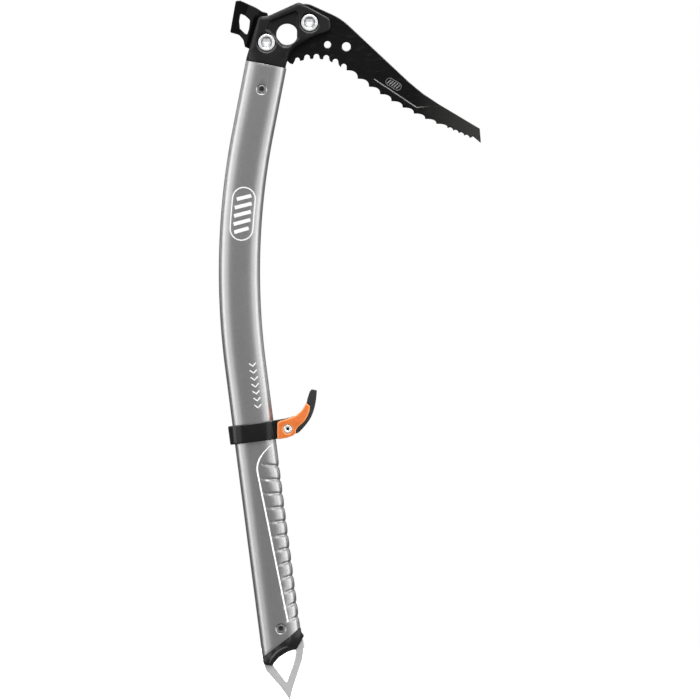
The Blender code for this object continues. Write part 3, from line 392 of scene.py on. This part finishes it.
def hammered_steel(name, centre):
    """Rivet end: a dark middle painted as the shade of a hollow, and a paler, hammered rim;
    both blotchy.
    """
    made = Surface(name, Metallic=0.9)
    made.soften(0.0004)
    blotches = made.noise(0.0012, 4.0)
    flat = made.around(centre, (1.0, 0.0, 1.0))
    far = made.add("ShaderNodeVectorMath", {0: flat}, operation="LENGTH")
    rim = made.spread(far.outputs["Value"], 0.0, 1.0, RIVET_SHADE_RADIUS,
                      RIVET_SHADE_RADIUS + RIVET_SHADE_FADE)
    # Painted shade: the middle is dark as the shade of a hollow; the rim stays pale.
    middle = made.blend(blotches, (0.008, 0.008, 0.0085), (0.07, 0.07, 0.072))
    pale = made.blend(blotches, (0.24, 0.24, 0.245), (0.46, 0.46, 0.465))
    made.drive(Base_Color=made.blend(rim, middle, pale),
               Roughness=made.spread(blotches, 0.28, 0.46))
    made.bump(blotches, 0.00012, 0.6)
    return made.made


def spike_steel():
    """Light satin steel, ground across the blade; its rounded edges are painted darker as
    shade.
    """
    made = Surface("spike_steel", Metallic=0.6)
    edges = made.soften(0.0007)
    ground = made.noise(0.0006, 5.0, (0.2, 1.0, 1.0))
    tone = made.blend(ground, (0.47, 0.47, 0.465), (0.61, 0.61, 0.605))
    # Painted shade: the rounded edges are painted darker.
    made.drive(Base_Color=made.blend(edges, tone, grey(0.30)),
               Roughness=made.spread(ground, 0.34, 0.48))
    made.bump(ground, 0.00004, 0.35)
    return made.made


def moulded_plastic(name, colour, lighter, rough, grain=0.0005, rounding=0.0006):
    """Moulded plastic with a fine spark-eroded skin."""
    made = Surface(name, Metallic=0.0, Specular_IOR_Level=0.35)
    made.soften(rounding)
    skin = made.noise(grain, 3.0)
    made.drive(Base_Color=made.blend(made.spread(made.noise(0.015), 0.0, 1.0), colour,
                                     lighter),
               Roughness=made.spread(skin, rough - 0.05, rough + 0.05))
    made.bump(skin, 0.00004, 0.4)
    return made.made


def orange_plastic():
    """Glass-filled orange nylon: faint flow marks under a satin skin; its rounded edges are
    painted lighter as a highlight.
    """
    made = Surface("orange_plastic", Metallic=0.0, Specular_IOR_Level=0.4)
    edges = made.soften(0.0022)
    flow = made.noise(0.006, 4.0, (1.0, 1.0, 0.5))
    skin = made.noise(0.0005, 3.0)
    tone = made.blend(made.spread(flow, 0.0, 1.0), (0.50, 0.104, 0.011),
                      (0.56, 0.127, 0.015))
    # Painted highlight: the rounded edges are painted a lighter orange.
    made.drive(Base_Color=made.blend(edges, tone, (0.80, 0.30, 0.09)),
               Roughness=made.spread(skin, 0.34, 0.44))
    made.bump(skin, 0.00003, 0.35)
    return made.made


def white_print(name, thin, full):
    """Screen-printed ink, slightly uneven."""
    made = Surface(name, Metallic=0.0)
    cover = made.noise(0.0007, 3.0)
    made.drive(Base_Color=made.blend(cover, thin, full),
               Roughness=made.spread(cover, 0.4, 0.55))
    return made.made


# ---------------------------------------------------------------- mesh helpers

def refine(node, surface, body):
    """Copy of a CAD node with its corners joined, so that round faces shade smoothly."""
    work = bmesh.new()
    work.from_mesh(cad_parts[node].data)
    bmesh.ops.remove_doubles(work, verts=work.verts, dist=JOIN_DISTANCE)
    piece = new_piece(node + "_shape", work, surface, sharp=REFINED_SHARP)
    flat = piece.modifiers.new("flat", "WEIGHTED_NORMAL")
    flat.weight = FACE_WEIGHT
    flat.keep_sharp = True
    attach(piece, body)
    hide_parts(node)


def new_piece(name, work, surface, sharp=30.0):
    """Named mesh object from a bmesh; edges bent by more than sharp degrees stay edges."""
    bmesh.ops.recalc_face_normals(work, faces=work.faces)
    mesh = bpy.data.meshes.new(name)
    work.to_mesh(mesh)
    work.free()
    mesh.shade_smooth()
    mesh.set_sharp_from_angle(angle=math.radians(sharp))
    mesh.materials.append(surface)
    made = bpy.data.objects.new(name, mesh)
    bpy.context.scene.collection.objects.link(made)
    return made


def dress(node, surface):
    """Gives a CAD node its finished material."""
    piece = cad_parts[node]
    for slot in piece.material_slots:
        slot.material = surface
    if not piece.material_slots:
        piece.data.materials.append(surface)


# ---------------------------------------------------------------- shaft

def station(down):
    """Axis point (x, z) and lean at a distance below the head joint."""
    first = min(down, SHAFT_UPPER_LENGTH)
    lean = SHAFT_TOP_LEAN
    x = SHAFT_TOP[0] - math.sin(lean) * first
    z = SHAFT_TOP[1] - math.cos(lean) * first
    bent = min(max(down - first, 0.0) / SHAFT_BEND_RADIUS, SHAFT_BEND)
    x += SHAFT_BEND_RADIUS * (math.cos(lean) - math.cos(lean - bent))
    z -= SHAFT_BEND_RADIUS * (math.sin(lean) - math.sin(lean - bent))
    lean -= bent
    rest = down - first - bent * SHAFT_BEND_RADIUS
    return x - math.sin(lean) * rest, z - math.cos(lean) * rest, lean


def beside(down, across, y):
    """Point at a distance down the axis, across it (to the front) and along Y."""
    x, z, lean = station(down)
    return Vector((x + math.cos(lean) * across, y, z - math.sin(lean) * across))


def section(inset):
    """Oval ring, evenly spaced: rows of (across, y, normal across, normal y)."""
    angle = np.linspace(0.0, 2 * math.pi, OVAL_SAMPLES)
    power = 2 / SHAFT_FULLNESS
    x = SHAFT_HALF_WIDTH * np.sign(np.cos(angle)) * np.abs(np.cos(angle)) ** power
    y = SHAFT_HALF_THICKNESS * np.sign(np.sin(angle)) * np.abs(np.sin(angle)) ** power
    run = np.concatenate(([0.0], np.cumsum(np.hypot(np.diff(x), np.diff(y)))))
    even = np.arange(SHAFT_POINTS) * run[-1] / SHAFT_POINTS
    x, y = np.interp(even, run, x), np.interp(even, run, y)
    normal_x, normal_y = oval_normal(x, y)
    return np.stack((x - inset * normal_x, y - inset * normal_y, normal_x, normal_y), 1)


def oval_normal(x, y):
    """Outward direction of the tube's surface at a point of its section."""
    bend = SHAFT_FULLNESS - 1
    along = np.sign(x) * np.abs(x / SHAFT_HALF_WIDTH) ** bend / SHAFT_HALF_WIDTH
    out = np.sign(y) * np.abs(y / SHAFT_HALF_THICKNESS) ** bend / SHAFT_HALF_THICKNESS
    size = np.hypot(along, out)
    return along / size, out / size


def oval_height(across):
    """Half thickness of the tube at a distance across."""
    share = min(abs(across) / SHAFT_HALF_WIDTH, 1.0)
    return SHAFT_HALF_THICKNESS * (1 - share ** SHAFT_FULLNESS) ** (1 / SHAFT_FULLNESS)


def eased(value):
    """0 below 0, 1 above 1 and a smooth step between."""
    value = np.clip(value, 0.0, 1.0)
    return value * value * (3 - 2 * value)


def pressed(down, across):
    """Depth pressed into the tube at distances down and across."""
    depth = np.zeros_like(down)
    position = (down - GROOVE_TOP) / GROOVE_PITCH
    within = (eased((position + PILLOW_REACH) / PILLOW_EASE)
              * eased((GROOVES - 1 + PILLOW_REACH - position) / PILLOW_EASE))
    wave = 0.5 + 0.5 * np.cos(2 * math.pi * position)
    front = eased((across - PILLOW_BACK) / (PILLOW_FULL - PILLOW_BACK))
    depth += within * front * PILLOW_DEPTH * wave
    for number, start in enumerate(GROOVE_STARTS):
        tilt = math.radians(GROOVE_TILT + GROOVE_TILT_STEP * number)
        middle = GROOVE_TOP + GROOVE_PITCH * number
        line = middle - (across - SHAFT_HALF_WIDTH) * math.tan(tilt)
        off = (down - line) * math.cos(tilt)
        run = eased((across - start) / GROOVE_TAPER)
        deep = GROOVE_SHALLOW + (1 - GROOVE_SHALLOW) * run
        depth += GROOVE_DEPTH * deep * (across > start) * np.exp(-(off / GROOVE_WIDTH) ** 2)
        pit = line - PIT_RISE
        far = np.hypot(down - pit, across - start) / PIT_RADIUS
        depth = np.maximum(depth, PIT_DEPTH * np.exp(-far ** 2))
    return depth


def dimple(points):
    """Depth of the pressed cone round each rivet."""
    depth = np.zeros(len(points))
    for x, z in RIVETS:
        far = np.hypot(points[:, 0] - x, points[:, 2] - z)
        slope = (DIMPLE_RADIUS - far) / (DIMPLE_RADIUS - DIMPLE_FLOOR)
        depth = np.maximum(depth, DIMPLE_DEPTH * eased(slope))
    return depth


def shaft_rows():
    """Distances of the rings below the head joint, closer where detail needs it."""
    rows = [SHAFT_GAP + SHAFT_RIM * (1 - math.cos(math.radians(angle)))
            for angle in (0, 30, 60, 90)]
    first_groove = GROOVE_TOP - GRIP_LEAD
    last_groove = GROOVE_TOP + GROOVES * GROOVE_PITCH
    down = rows[-1]
    while down < TUBE_END - SHAFT_RIM:
        x, z = station(down)[:2]
        near_rivet = min(math.hypot(x - rivet[0], z - rivet[1]) for rivet in RIVETS)
        in_grip = first_groove < down < last_groove
        step = RING_STEP_GRIP if in_grip else RING_STEP
        down += RING_STEP_RIVET if near_rivet < RIVET_REACH else step
        rows.append(min(down, TUBE_END - SHAFT_RIM))
    rows += [TUBE_END - SHAFT_RIM * (1 - math.sin(math.radians(angle)))
             for angle in (30, 60, 90)]
    return rows


def outer_ring(work, ring, down):
    """One ring of the tube's outside, with all that is pressed into it."""
    near_end = min(down - SHAFT_GAP, TUBE_END - down)
    rim = max(SHAFT_RIM - near_end, 0.0)
    shrink = SHAFT_RIM - math.sqrt(max(SHAFT_RIM ** 2 - rim ** 2, 0.0))
    slant = max((down - SLANT_START) / (TUBE_END - SLANT_START), 0.0)
    across, y, normal_x, normal_y = ring.T
    downs = down - slant * BOTTOM_SLANT * across
    plain = np.array([beside(*place) for place in zip(downs, across, y)])
    depth = shrink + pressed(downs, across) + dimple(plain)
    sunk = zip(downs, across - normal_x * depth, y - normal_y * depth)
    return [work.verts.new(beside(*place)) for place in sunk]


def bore_rings(work):
    """Rings of the tube's inside, from its slanted end up to the head."""
    bend = [(SHAFT_UPPER_LENGTH + step / BORE_STEPS * SHAFT_BEND * SHAFT_BEND_RADIUS, 0.0)
            for step in range(BORE_STEPS, -1, -1)]
    stops = [(TUBE_END, 1.0), (SLANT_START, 0.0), *bend, (SHAFT_GAP, 0.0)]
    inner = section(SHAFT_WALL)[:, :2]
    return [[work.verts.new(beside(down - slant * BOTTOM_SLANT * across, across, y))
             for across, y in inner] for down, slant in stops]


def build_shaft():
    """Tube with an oval bore, a slanted lower end and rounded rims."""
    work = bmesh.new()
    ring = section(0.0)
    made = [outer_ring(work, ring, down) for down in shaft_rows()] + bore_rings(work)
    for lower, upper in zip(made, made[1:] + made[:1]):
        for index, vertex in enumerate(lower):
            work.faces.new((lower[index - 1], vertex, upper[index], upper[index - 1]))
    shaft = new_piece("shaft_tube", work, blasted_aluminium(),
                      sharp=50.0)
    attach(shaft, "axe")
    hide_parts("shaft")


# ---------------------------------------------------------------- print, emblems, rib

def bezier(points, count):
    """Points on a cubic curve through four control points."""
    first, second, third, last = [np.array(point) for point in points]
    curve = []
    for number in range(count + 1):
        t = number / count
        curve.append((1 - t) ** 3 * first + 3 * t * (1 - t) ** 2 * second
                     + 3 * t * t * (1 - t) * third + t ** 3 * last)
    return curve


def on_shaft(x, z):
    """Distances down and across of a point beside the straight lower shaft."""
    start_x, start_z, lean = station(SHAFT_BEND_END)
    off_x, off_z = x - start_x, z - start_z
    return (SHAFT_BEND_END - off_x * math.sin(lean) - off_z * math.cos(lean),
            off_x * math.cos(lean) - off_z * math.sin(lean))


def lay_print(work, rows, onto, crown=0.0):
    """Thin solid of ink, or with a crown a round bead; onto(a, b, height) gives the
    point at a height above a, b on a surface."""
    skins = []
    for base, dome in ((-INK_ROOT, 0.0), (INK_HEIGHT, crown)):
        skin = []
        for row in rows:
            shares = np.linspace(-1.0, 1.0, len(row))
            skin.append([work.verts.new(onto(a, b, base + dome * (1 - share * share)))
                         for (a, b), share in zip(row, shares)])
        skins.append(skin)
    for skin in skins:
        for lower, upper in zip(skin, skin[1:]):
            for a, b, c, d in zip(lower, lower[1:], upper[1:], upper):
                work.faces.new((a, b, c, d))
    rims = []
    for skin in skins:
        rims.append(skin[0] + [row[-1] for row in skin[1:-1]] + skin[-1][::-1]
                    + [row[0] for row in skin[-2:0:-1]])
    under, over = rims
    for index, vertex in enumerate(under):
        work.faces.new((under[index - 1], vertex, over[index], over[index - 1]))


def onto_shaft(side):
    """Places (down, across) points on one side of the tube."""
    def onto(down, across, height):
        y = side * oval_height(across)
        normal_x, normal_y = oval_normal(across, y)
        return beside(down, across + normal_x * height, y + normal_y * height)
    return onto


def onto_node(node, side, origin=(0.0, 0.0), turn=0.0):
    """Places (along, up) points on one side of a CAD node, about a turned origin."""
    angle = math.radians(turn)
    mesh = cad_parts[node].data
    tree = BVHTree.FromPolygons([vertex.co for vertex in mesh.vertices],
                                [face.vertices for face in mesh.polygons])

    def onto(along, up, height):
        x = origin[0] + along * math.cos(angle) - up * math.sin(angle)
        z = origin[1] + along * math.sin(angle) + up * math.cos(angle)
        start = Vector((x, side * PROBE_START, z))
        hit = tree.ray_cast(start, Vector((0, -side, 0)))[0]
        return Vector((x, hit.y + side * height, z))
    return onto


def ribbon_rows(path, widths, shares=(-1, 0, 1)):
    """Rows of points across a line that follows (down, across) points."""
    rows = []
    for index, (point, width) in enumerate(zip(path, widths)):
        before = Vector(path[max(index - 1, 0)])
        after = Vector(path[min(index + 1, len(path) - 1)])
        along = (after - before).normalized()
        side = Vector((-along.y, along.x)) * width / 2
        rows.append([tuple(Vector(point) + side * share) for share in shares])
    return rows


def capsule(length, width):
    """Closed outline with two round ends, as (along, up) points."""
    radius = width / 2
    straight = length / 2 - radius
    points = []
    for end in (1, -1):
        for number in range(CAPSULE_STEPS + 1):
            angle = math.pi * number / CAPSULE_STEPS - math.pi / 2
            points.append((end * (straight + radius * math.cos(angle)),
                           end * radius * math.sin(angle)))
    return points + [points[0]]


def emblem_strokes(length, width, line):
    """Strokes of the emblem: a thin capsule round slanted bars, the end ones shorter."""
    strokes = [(capsule(length, width), line)]
    for number in range(EMBLEM_BARS):
        middle = (number - EMBLEM_BARS // 2) * length * BAR_PITCH
        at_end = number in (0, EMBLEM_BARS - 1)
        reach = width * (END_BAR_REACH if at_end else BAR_REACH)
        lean = reach * BAR_SLOPE
        strokes.append(([(middle - lean, -reach), (middle + lean, reach)],
                        length * BAR_LINE))
    return strokes


def fine_path(path):
    """The same line with extra points, so that it can follow a curved surface."""
    points = [path[0]]
    for start, end in zip(path, path[1:]):
        pieces = max(1, round(math.dist(start, end) / PRINT_STEP))
        for number in range(1, pieces + 1):
            share = number / pieces
            points.append(tuple(a + (b - a) * share for a, b in zip(start, end)))
    return points


def print_piece(name, surface, strokes, faces):
    """Ink strokes, each (path, width), laid on every one of the faces."""
    work = bmesh.new()
    for path, width in strokes:
        path = fine_path(path)
        for onto in faces:
            lay_print(work, ribbon_rows(path, [width] * len(path)), onto)
    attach(new_piece(name, work, surface), "axe")


def build_grip_line(surface, faces):
    """White line that curls out from under the hand rest and runs down the grip."""
    curl = bezier(GRIP_LINE_CURL, CURL_STEPS)
    end = np.array(GRIP_LINE_END)
    path = [tuple(point) for point in curl] + [
        tuple(curl[-1] + (end - curl[-1]) * step / STRAIGHT_STEPS)
        for step in range(1, STRAIGHT_STEPS + 1)]
    widths = [GRIP_LINE_WIDTH * min(GRIP_LINE_TIP + index / CURL_STEPS, 1.0)
              for index in range(len(path))]
    work = bmesh.new()
    for onto in faces:
        lay_print(work, ribbon_rows([on_shaft(*point) for point in path], widths), onto)
    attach(new_piece("grip_line", work, surface), "axe")


def build_print():
    """Grip line, emblems and chevrons, in ink on both sides."""
    white = white_print("white_print", grey(0.84), grey(0.95))
    pale = white_print("pale_print", grey(0.55), grey(0.72))
    faint = white_print("faint_print", grey(0.09), grey(0.20))
    tube = [onto_shaft(side) for side in SIDES]
    build_grip_line(white, tube)

    emblem = [([(EMBLEM_DOWN - along, EMBLEM_ACROSS + up) for along, up in points], line)
              for points, line in emblem_strokes(*EMBLEM_SIZE)]
    print_piece("shaft_emblem", pale, emblem, tube)
    chevrons = []
    for number in range(CHEVRONS):
        down = CHEVRON_DOWN + number * CHEVRON_PITCH
        chevrons.append(([(down, CHEVRON_ACROSS - CHEVRON_HALF_WIDTH),
                          (down + CHEVRON_LENGTH, CHEVRON_ACROSS),
                          (down, CHEVRON_ACROSS + CHEVRON_HALF_WIDTH)], CHEVRON_LINE))
    print_piece("shaft_chevrons", pale, chevrons, tube)
    print_piece("pick_emblem", faint, emblem_strokes(*PICK_EMBLEM_SIZE),
                [onto_node("pick", side, PICK_EMBLEM_PLACE, PICK_EMBLEM_SLOPE)
                 for side in SIDES])


def build_ferrule_rib():
    """Raised rib that curves across each side of the foot, painted lighter than the foot as
    a highlight.
    """
    path = bezier(RIB_CURVE, RIB_STEPS)
    widths = [RIB_WIDTH * math.sin(math.pi * (RIB_START + RIB_RUN * index / RIB_STEPS))
              for index in range(RIB_STEPS + 1)]
    work = bmesh.new()
    for side in SIDES:
        lay_print(work, ribbon_rows(path, widths, (-1, -0.5, 0, 0.5, 1)),
                  onto_node("spike_ferrule", side), RIB_HEIGHT)
    # Painted highlight: the rib is the foot's plastic painted lighter.
    black = moulded_plastic("rib_painted_highlight", grey(0.055), grey(0.080), 0.3)
    rib = new_piece("ferrule_rib", work, black, sharp=60.0)
    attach(rib, "axe")


# ---------------------------------------------------------------- bolts

def lobed_stack(work, centre, side, under, rings, dark):
    """Closed solid round a screw's axis, through rings of (radius, lobes, height above
    the head's underside).  The bands that start at the dark rings, counted from the
    last one, get the second material, the socket's painted shade."""
    made = []
    for radius, lobes, height in rings:
        ring = []
        for number in range(SCREW_POINTS):
            angle = 2 * math.pi * number / SCREW_POINTS
            reach = radius + lobes * math.cos(LOBES * angle)
            ring.append(work.verts.new((centre[0] + reach * math.cos(angle),
                                        side * (under + height),
                                        centre[1] + reach * math.sin(angle))))
        made.append(ring)
    for number, (lower, upper) in enumerate(zip(made, made[1:])):
        for index, vertex in enumerate(lower):
            face = work.faces.new((lower[index - 1], vertex, upper[index],
                                   upper[index - 1]))
            face.material_index = int(len(made) - number in dark)
    work.faces.new(made[0])
    work.faces.new(made[-1])


def socket_head():
    """Rings of a bolt's flanged head with a lobed socket, from the flange inwards."""
    radius = BOLT_HEAD_RADIUS
    return [(radius, 0.0, 0.0), (radius, 0.0, 0.0019), (radius - 0.0002, 0.0, 0.0023),
            (radius - 0.0005, 0.0, 0.0024), (0.0047, 0.0, 0.0024), (0.0045, 0.0, 0.0023),
            (0.0037, 0.0006, 0.0021), (0.00355, 0.0006, 0.0011), (0.0030, 0.0003, 0.0009),
            (0.0024, 0.0, 0.0009), (0.0010, 0.0, 0.0006), (0.0002, 0.0, 0.0002)]


def build_bolt_heads():
    """Both head bolts and their sleeve nuts, with turned heads and lobed sockets."""
    for place, centre, floor in (("front", FRONT_BOLT, FRONT_FLOOR),
                                 ("rear", REAR_BOLT, REAR_FLOOR)):
        steel = turned_steel(place + "_bolt_steel", centre)
        # The walls of each socket get a second material, painted dark as shade.
        shade_in_socket = socket_shade_steel(place + "_socket_painted_shade", (0.10, 0.10, 0.105), (0.55, 0.55, 0.56))
        under = floor + PLAY
        length = 2 * floor
        shank = [(0.0002, 0.0, -length), (0.0028, 0.0, -length),
                 (BOLT_RADIUS, 0.0, 0.0002 - length), (BOLT_RADIUS, 0.0, 0.0)]
        sleeve = [(0.0002, 0.0, -PLAY), (BOLT_RADIUS + PLAY, 0.0, -PLAY),
                  (BOLT_RADIUS + PLAY, 0.0, -length), (SLEEVE_RADIUS, 0.0, -length),
                  (SLEEVE_RADIUS, 0.0, 0.0)]
        for kind, side, stem in (("bolt", -1, shank), ("nut", 1, sleeve)):
            work = bmesh.new()
            lobed_stack(work, centre, side, under, stem + socket_head(), dark=(7, 6, 5))
            turned = new_piece("%s_socket_%s" % (place, kind), work, steel,
                               sharp=25.0)
            turned.data.materials.append(shade_in_socket)
            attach(turned, "axe")
            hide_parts("%s_head_%s" % (place, kind))


def build_pivot_screw():
    """Screw in the lever, its socket painted dark as shade."""
    rings = [(0.0002, 0.0, -0.0220), (0.0017, 0.0, -0.0220), (0.0017, 0.0, 0.0),
             (0.00315, 0.0, 0.0), (0.00315, 0.0, 0.0008), (0.0027, 0.0, 0.0012),
             (0.0018, 0.0, 0.0012), (0.0016, 0.0, 0.0011), (0.0013, 0.00018, 0.0009),
             (0.0012, 0.00018, 0.0002), (0.0002, 0.0, 0.0001)]
    work = bmesh.new()
    lobed_stack(work, LEVER_PIVOT, -1, PIVOT_FLOOR, rings, dark=(3, 2))
    screw = new_piece("pivot_socket_screw", work, turned_steel("screw_steel", LEVER_PIVOT),
                      sharp=25.0)
    screw.data.materials.append(socket_shade_steel("screw_painted_shade", grey(0.01), grey(0.05)))
    # The socket's floor gets the painted shade as well.
    bottom = screw.data.polygons[-1]
    bottom.material_index = 1
    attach(screw, "rest_clamp_lever")
    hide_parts("rest_screw")


def build_seam():
    """Rubber that fills the joint between the lever and its soft grip."""
    outline = [(LEVER_PIVOT[0] + x * MM, LEVER_PIVOT[1] + z * MM)
               for x, z in SEAM_INNER + SEAM_OUTER]
    work = bmesh.new()
    for side in SIDES:
        near, far = [[work.verts.new((x, side * y, z)) for x, z in outline]
                     for y in SEAM_FACES]
        work.faces.new(near)
        work.faces.new(far)
        for index, vertex in enumerate(near):
            work.faces.new((near[index - 1], vertex, far[index], far[index - 1]))
    rubber = moulded_plastic("seam_rubber", grey(0.006), grey(0.010), 0.6)
    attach(new_piece("lever_seam", work, rubber), "rest_clamp_lever")


# ---------------------------------------------------------------- CAD nodes

def turned_brass():
    """Turned brass with a slight tarnish."""
    made = Surface("turned_brass", Metallic=1.0)
    tarnish = made.noise(0.001)
    made.drive(Base_Color=made.blend(tarnish, (0.60, 0.42, 0.16), (0.74, 0.55, 0.24)),
               Roughness=made.spread(tarnish, 0.25, 0.4))
    return made.made


def dress_nodes():
    """Materials of the CAD nodes; the foot and the band are refined as well."""
    # The lighter colours given for the edges of these satin blacks are painted highlights
    # on their upper edges.
    head_black = satin_black("head_black", (0.005, 0.005, 0.0052), (0.008, 0.008, 0.0083),
                             rough=0.38, painted_edge_highlight=grey(0.12), rounding=0.0024, shine=0.21)
    gloss_black = satin_black("gloss_black", (0.0015, 0.0015, 0.0016), grey(0.0025),
                              rough=0.20, painted_edge_highlight=grey(0.34), rounding=0.0012, shine=0.10)
    rubber = moulded_plastic("rubber", grey(0.025), grey(0.035), 0.7)
    black_plastic = moulded_plastic("black_plastic", (0.006, 0.006, 0.0065), grey(0.010),
                                    0.36)
    band_black = satin_black("band_black", (0.004, 0.004, 0.0042), grey(0.007),
                             rough=0.21, painted_edge_highlight=grey(0.13), rounding=0.0010, shine=0.25)
    grip_black = moulded_plastic("grip_black", (0.008, 0.008, 0.0085), grey(0.014),
                                 0.50, grain=0.0004, rounding=0.0012)
    brass = turned_brass()
    pivot_steel = turned_steel("pivot_steel", LEVER_PIVOT)
    refine("spike_ferrule", black_plastic, "axe")
    refine("rest_band", band_black, "rest_slider")
    surfaces = {
        "head_body": head_black, "pick": pick_steel(), "hammer": gloss_black,
        "rest_lever": orange_plastic(), "rest_lever_grip": grip_black,
        "rest_nut": pivot_steel, "rest_cam": pivot_steel,
        "head_rivet": hammered_steel("head_rivet_steel", RIVETS[0]),
        "spike_rivet": hammered_steel("spike_rivet_steel", RIVETS[1]),
        "spike": spike_steel(),
        "rest_liner": rubber, "rest_shoe": rubber, "rest_bush": brass}
    for node, surface in surfaces.items():
        dress(node, surface)


# ---------------------------------------------------------------- studio

def build_camera():
    """Camera square to the tool's side, far away, as in the photo."""
    data = bpy.data.cameras.new("camera")
    data.sensor_width = SENSOR_WIDTH
    data.lens = data.sensor_width * CAMERA_DISTANCE / VIEW_WIDTH
    camera = bpy.data.objects.new("camera", data)
    camera.location = (VIEW_CENTRE[0], -CAMERA_DISTANCE, VIEW_CENTRE[1])
    camera.rotation_euler = (math.pi / 2, 0.0, 0.0)
    bpy.context.scene.collection.objects.link(camera)
    bpy.context.scene.camera = camera


def area_light(name, place, size, power, matt_only=False):
    """Soft box aimed at the tool; a matt_only one doesn't show in gloss."""
    data = bpy.data.lights.new(name, "AREA")
    data.shape = "RECTANGLE"
    data.size, data.size_y = size
    data.energy = power
    light = bpy.data.objects.new(name, data)
    light.location = place
    toward = Vector(LIGHT_AIM) - Vector(place)
    light.rotation_euler = toward.to_track_quat("-Z", "Y").to_euler()
    light.visible_camera = False
    light.visible_glossy = not matt_only
    bpy.context.scene.collection.objects.link(light)


def build_lights():
    """Soft boxes to the left and right of the tool, above it, before and behind it."""
    for side, label in ((-1, "left"), (1, "right")):
        area_light(label + "_box", (side * 1.95, -0.55, 0.1), (0.9, 2.2), 21.0)
        area_light(label + "_fill", (side * 1.5, -1.4, 0.1), (0.9, 2.0), 9.0)
        area_light(label + "_rear", (side * 1.9, 1.1, 0.6), (0.6, 1.6), 6.0)
    area_light("key_box", (0.2, -1.7, 1.7), (1.4, 1.0), 50.0)
    area_light("top_box", (0.1, 0.1, 2.0), (1.4, 1.4), 45.0)
    area_light("wash", (0.0, -2.2, 0.2), (1.6, 1.6), 14.0, matt_only=True)
    area_light("back_wash", (0.0, 2.2, 0.2), (1.6, 1.6), 24.0, matt_only=True)
    area_light("back_key", (-0.2, 1.9, 1.6), (1.4, 1.0), 40.0)


def build_room():
    """White room to the camera; for the light on the tool it is dimmer at the back."""
    world = bpy.data.worlds.new("studio")
    world.use_nodes = True
    bpy.context.scene.world = world
    nodes, links = world.node_tree.nodes, world.node_tree.links
    nodes.clear()
    shown = nodes.new("ShaderNodeBackground")
    shown.inputs["Strength"].default_value = 1.0
    shown.inputs["Color"].default_value = (1.0, 1.0, 1.0, 1.0)
    around = nodes.new("ShaderNodeBackground")
    place = nodes.new("ShaderNodeTexCoord")
    axes = nodes.new("ShaderNodeSeparateXYZ")
    depth = nodes.new("ShaderNodeMapRange")
    for name, value in (("From Min", ROOM_TURN[0]), ("From Max", ROOM_TURN[1]),
                        ("To Min", ROOM_BACK), ("To Max", ROOM_FRONT)):
        depth.inputs[name].default_value = value
    depth.interpolation_type = "SMOOTHSTEP"
    links.new(place.outputs["Generated"], axes.inputs[0])
    links.new(axes.outputs["Y"], depth.inputs["Value"])
    links.new(depth.outputs["Result"], around.inputs["Strength"])
    path = nodes.new("ShaderNodeLightPath")
    mix = nodes.new("ShaderNodeMixShader")
    out = nodes.new("ShaderNodeOutputWorld")
    links.new(path.outputs["Is Camera Ray"], mix.inputs[0])
    links.new(around.outputs[0], mix.inputs[1])
    links.new(shown.outputs[0], mix.inputs[2])
    links.new(mix.outputs[0], out.inputs[0])


def build_floor():
    """Round pale floor just below the spike; none of its light falls on the tool."""
    work = bmesh.new()
    bmesh.ops.create_circle(work, cap_ends=True, segments=FLOOR_POINTS, radius=FLOOR_RADIUS)
    mesh = bpy.data.meshes.new("floor")
    work.to_mesh(mesh)
    work.free()
    floor = bpy.data.objects.new("floor", mesh)
    floor.location = (0.0, 0.0, CAD_BOX[0].z - FLOOR_DROP)
    bpy.context.scene.collection.objects.link(floor)
    pale = Surface("pale_floor", Roughness=0.9, Emission_Strength=0.55)
    pale.shader.inputs["Base Color"].default_value = (0.92, 0.92, 0.92, 1.0)
    pale.shader.inputs["Emission Color"].default_value = (1.0, 1.0, 1.0, 1.0)
    mesh.materials.append(pale.made)
    floor.visible_glossy = False
    floor.visible_diffuse = False


def build_studio():
    """Camera, lights, room and floor, with colours shown as they are."""
    build_camera()
    build_lights()
    build_room()
    build_floor()
    bpy.context.scene.view_settings.view_transform = "Standard"


# ---------------------------------------------------------------- the scene


build_studio()
build_shaft()
build_print()
build_ferrule_rib()
build_bolt_heads()
build_pivot_screw()
build_seam()
dress_nodes()
